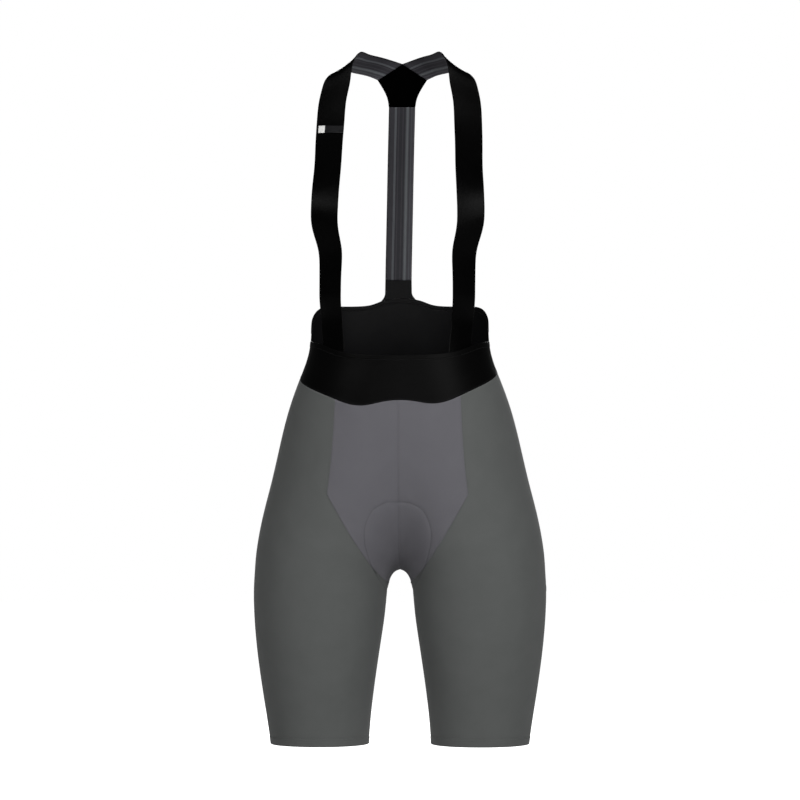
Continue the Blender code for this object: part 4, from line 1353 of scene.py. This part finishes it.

# %% [markdown]
# ## Label
#
# A small bare label lies on the wearer's right strap and is sewn down at both ends. It stands off
# the strap by about its own thickness.

# %% The strap label
LABEL_TOP, LABEL_FOOT, LABEL_ROWS = -94.7 * MM, -104.0 * MM, 13
LABEL_INSET, LABEL_OFF = 0.8 * MM, 0.7 * MM
LABEL_THICK, LABEL_BOW, LABEL_STITCH = 0.5 * MM, 0.5 * MM, 1.0 * MM


def strap_label(sheet):
    """A grid over the outer face of a strap, between two heights."""
    crest = int(np.argmax(sheet.grid[:, sheet.grid.shape[1] // 2, 2]))
    raised = (sheet.grid + sheet.normals * LABEL_OFF)[:crest]
    heights = np.linspace(LABEL_TOP, LABEL_FOOT, LABEL_ROWS)
    lifted = np.stack([read_line(heights, column[:, 2], column) for column in raised.swapaxes(0, 1)], axis=1)
    inset = unit(np.gradient(lifted, axis=1)) * LABEL_INSET
    return lifted + inset * np.clip(1 - 2 * STRAP_SHARES, -1, 1)[:, None]


grid = strap_label(right_strap)
_, _, first, last = spans(grid)
bow = LABEL_BOW * np.sin(np.pi * first / (first + last)) ** 2
sheet = sew("label_cloth", grid, FRONT, bow, LABEL_THICK, [label_satin])
wear(sheet, "strap_label", UNSTRETCHED, ["strap_cloth_right"], held="laid")
stitch_down(sheet, [run_along(sheet, edge, LABEL_STITCH) for edge in ("first", "last")], black_thread)

# %% [markdown]
# ## The cloth's sizes
#
# Each sheet's worn size is read along its grid. Stretch cloth is cut smaller than the body, so the
# flat size is the worn size divided by its stretch across and along.

# %% Sheets and their worn sizes


for sheet, stretch, held, rests_on in declared:
    down, _, across, _ = spans(sheet.grid)
    name = sheet.piece.name

# %% [markdown]
# ## Floor and light
#
# A shop picture has a white ground and soft light. Five large lamps stand on the camera's side: two to
# the right, the stronger of them higher, one to the left, one straight ahead and one high up. Two more
# stand behind for the seat and the back strap, and the sky lights everything a little. The background
# and the paper are white to the camera alone, so that the cloth keeps its shading.

# %% Floor
FLOOR_HEIGHT, FLOOR_SIZE = -1.05, 16
FLOOR_GLOW = 1.0  # seen by the camera alone: the paper looks white, and sends back only the lamps' light
bpy.ops.object.select_all(action="DESELECT")
bpy.ops.mesh.primitive_plane_add(size=FLOOR_SIZE, location=(0, 0, FLOOR_HEIGHT))
floor = bpy.context.object
floor.name = "floor"
paper, tree, shader = new_finish("matt_white_paper", {"Roughness": 1.0, "Specular IOR Level": 0.0})
shader.inputs["Base Color"].default_value = linear("#c6c6c6")
shader.inputs["Emission Color"].default_value = (1, 1, 1, 1)
seen = add(tree, "LightPath").outputs["Is Camera Ray"]
glow = add(tree, "Math", {"operation": "MULTIPLY", 1: FLOOR_GLOW}, {0: seen})
tree.links.new(glow.outputs[0], shader.inputs["Emission Strength"])
floor.data.materials.append(paper)
print("paper at", FLOOR_HEIGHT, "m")

# %% Sky
SKY_LIGHT, SKY_SEEN = 0.09, 1.0
world = bpy.data.worlds.new("studio")
bpy.context.scene.world = world
world.use_nodes = True
tree = world.node_tree
backdrop = tree.nodes["Background"]
backdrop.inputs["Color"].default_value = (1, 1, 1, 1)
seen = add(tree, "LightPath").outputs["Is Camera Ray"]
strength = add(tree, "Mix", {"data_type": "FLOAT", 2: SKY_LIGHT, 3: SKY_SEEN}, {0: seen})
tree.links.new(strength.outputs[0], backdrop.inputs["Strength"])
bpy.context.scene.view_settings.view_transform = "Standard"
print("the sky lights with strength", SKY_LIGHT)

# %% Lamps
LAMP_SIZE = 1.2
Lamp = namedtuple("Lamp", "name x y z power")
LAMPS = [
    Lamp("right", 1.76, -2.43, 0.1, 20),
    Lamp("key", 1.5, -2.06, 1.2, 28),
    Lamp("left", -1.5, -2.06, 1.2, 22),
    Lamp("front", 0.0, -3.0, 0.1, 15),
    Lamp("high", 0.0, -1.9, 2.1, 12),
    Lamp("rear right", 0.5, 2.9, 0.6, 34),
    Lamp("rear left", -0.5, 2.9, 0.6, 34),
]
for lamp in LAMPS:
    place = Vector((lamp.x, lamp.y, lamp.z))
    bpy.ops.object.light_add(type="AREA", location=place)
    light = bpy.context.object
    light.name = lamp.name
    light.data.shape, light.data.size, light.data.energy = "DISK", LAMP_SIZE, lamp.power
    light.rotation_euler = (MIDDLE - place).to_track_quat("-Z", "Y").to_euler()
print("lamps:", ", ".join(lamp.name for lamp in LAMPS))
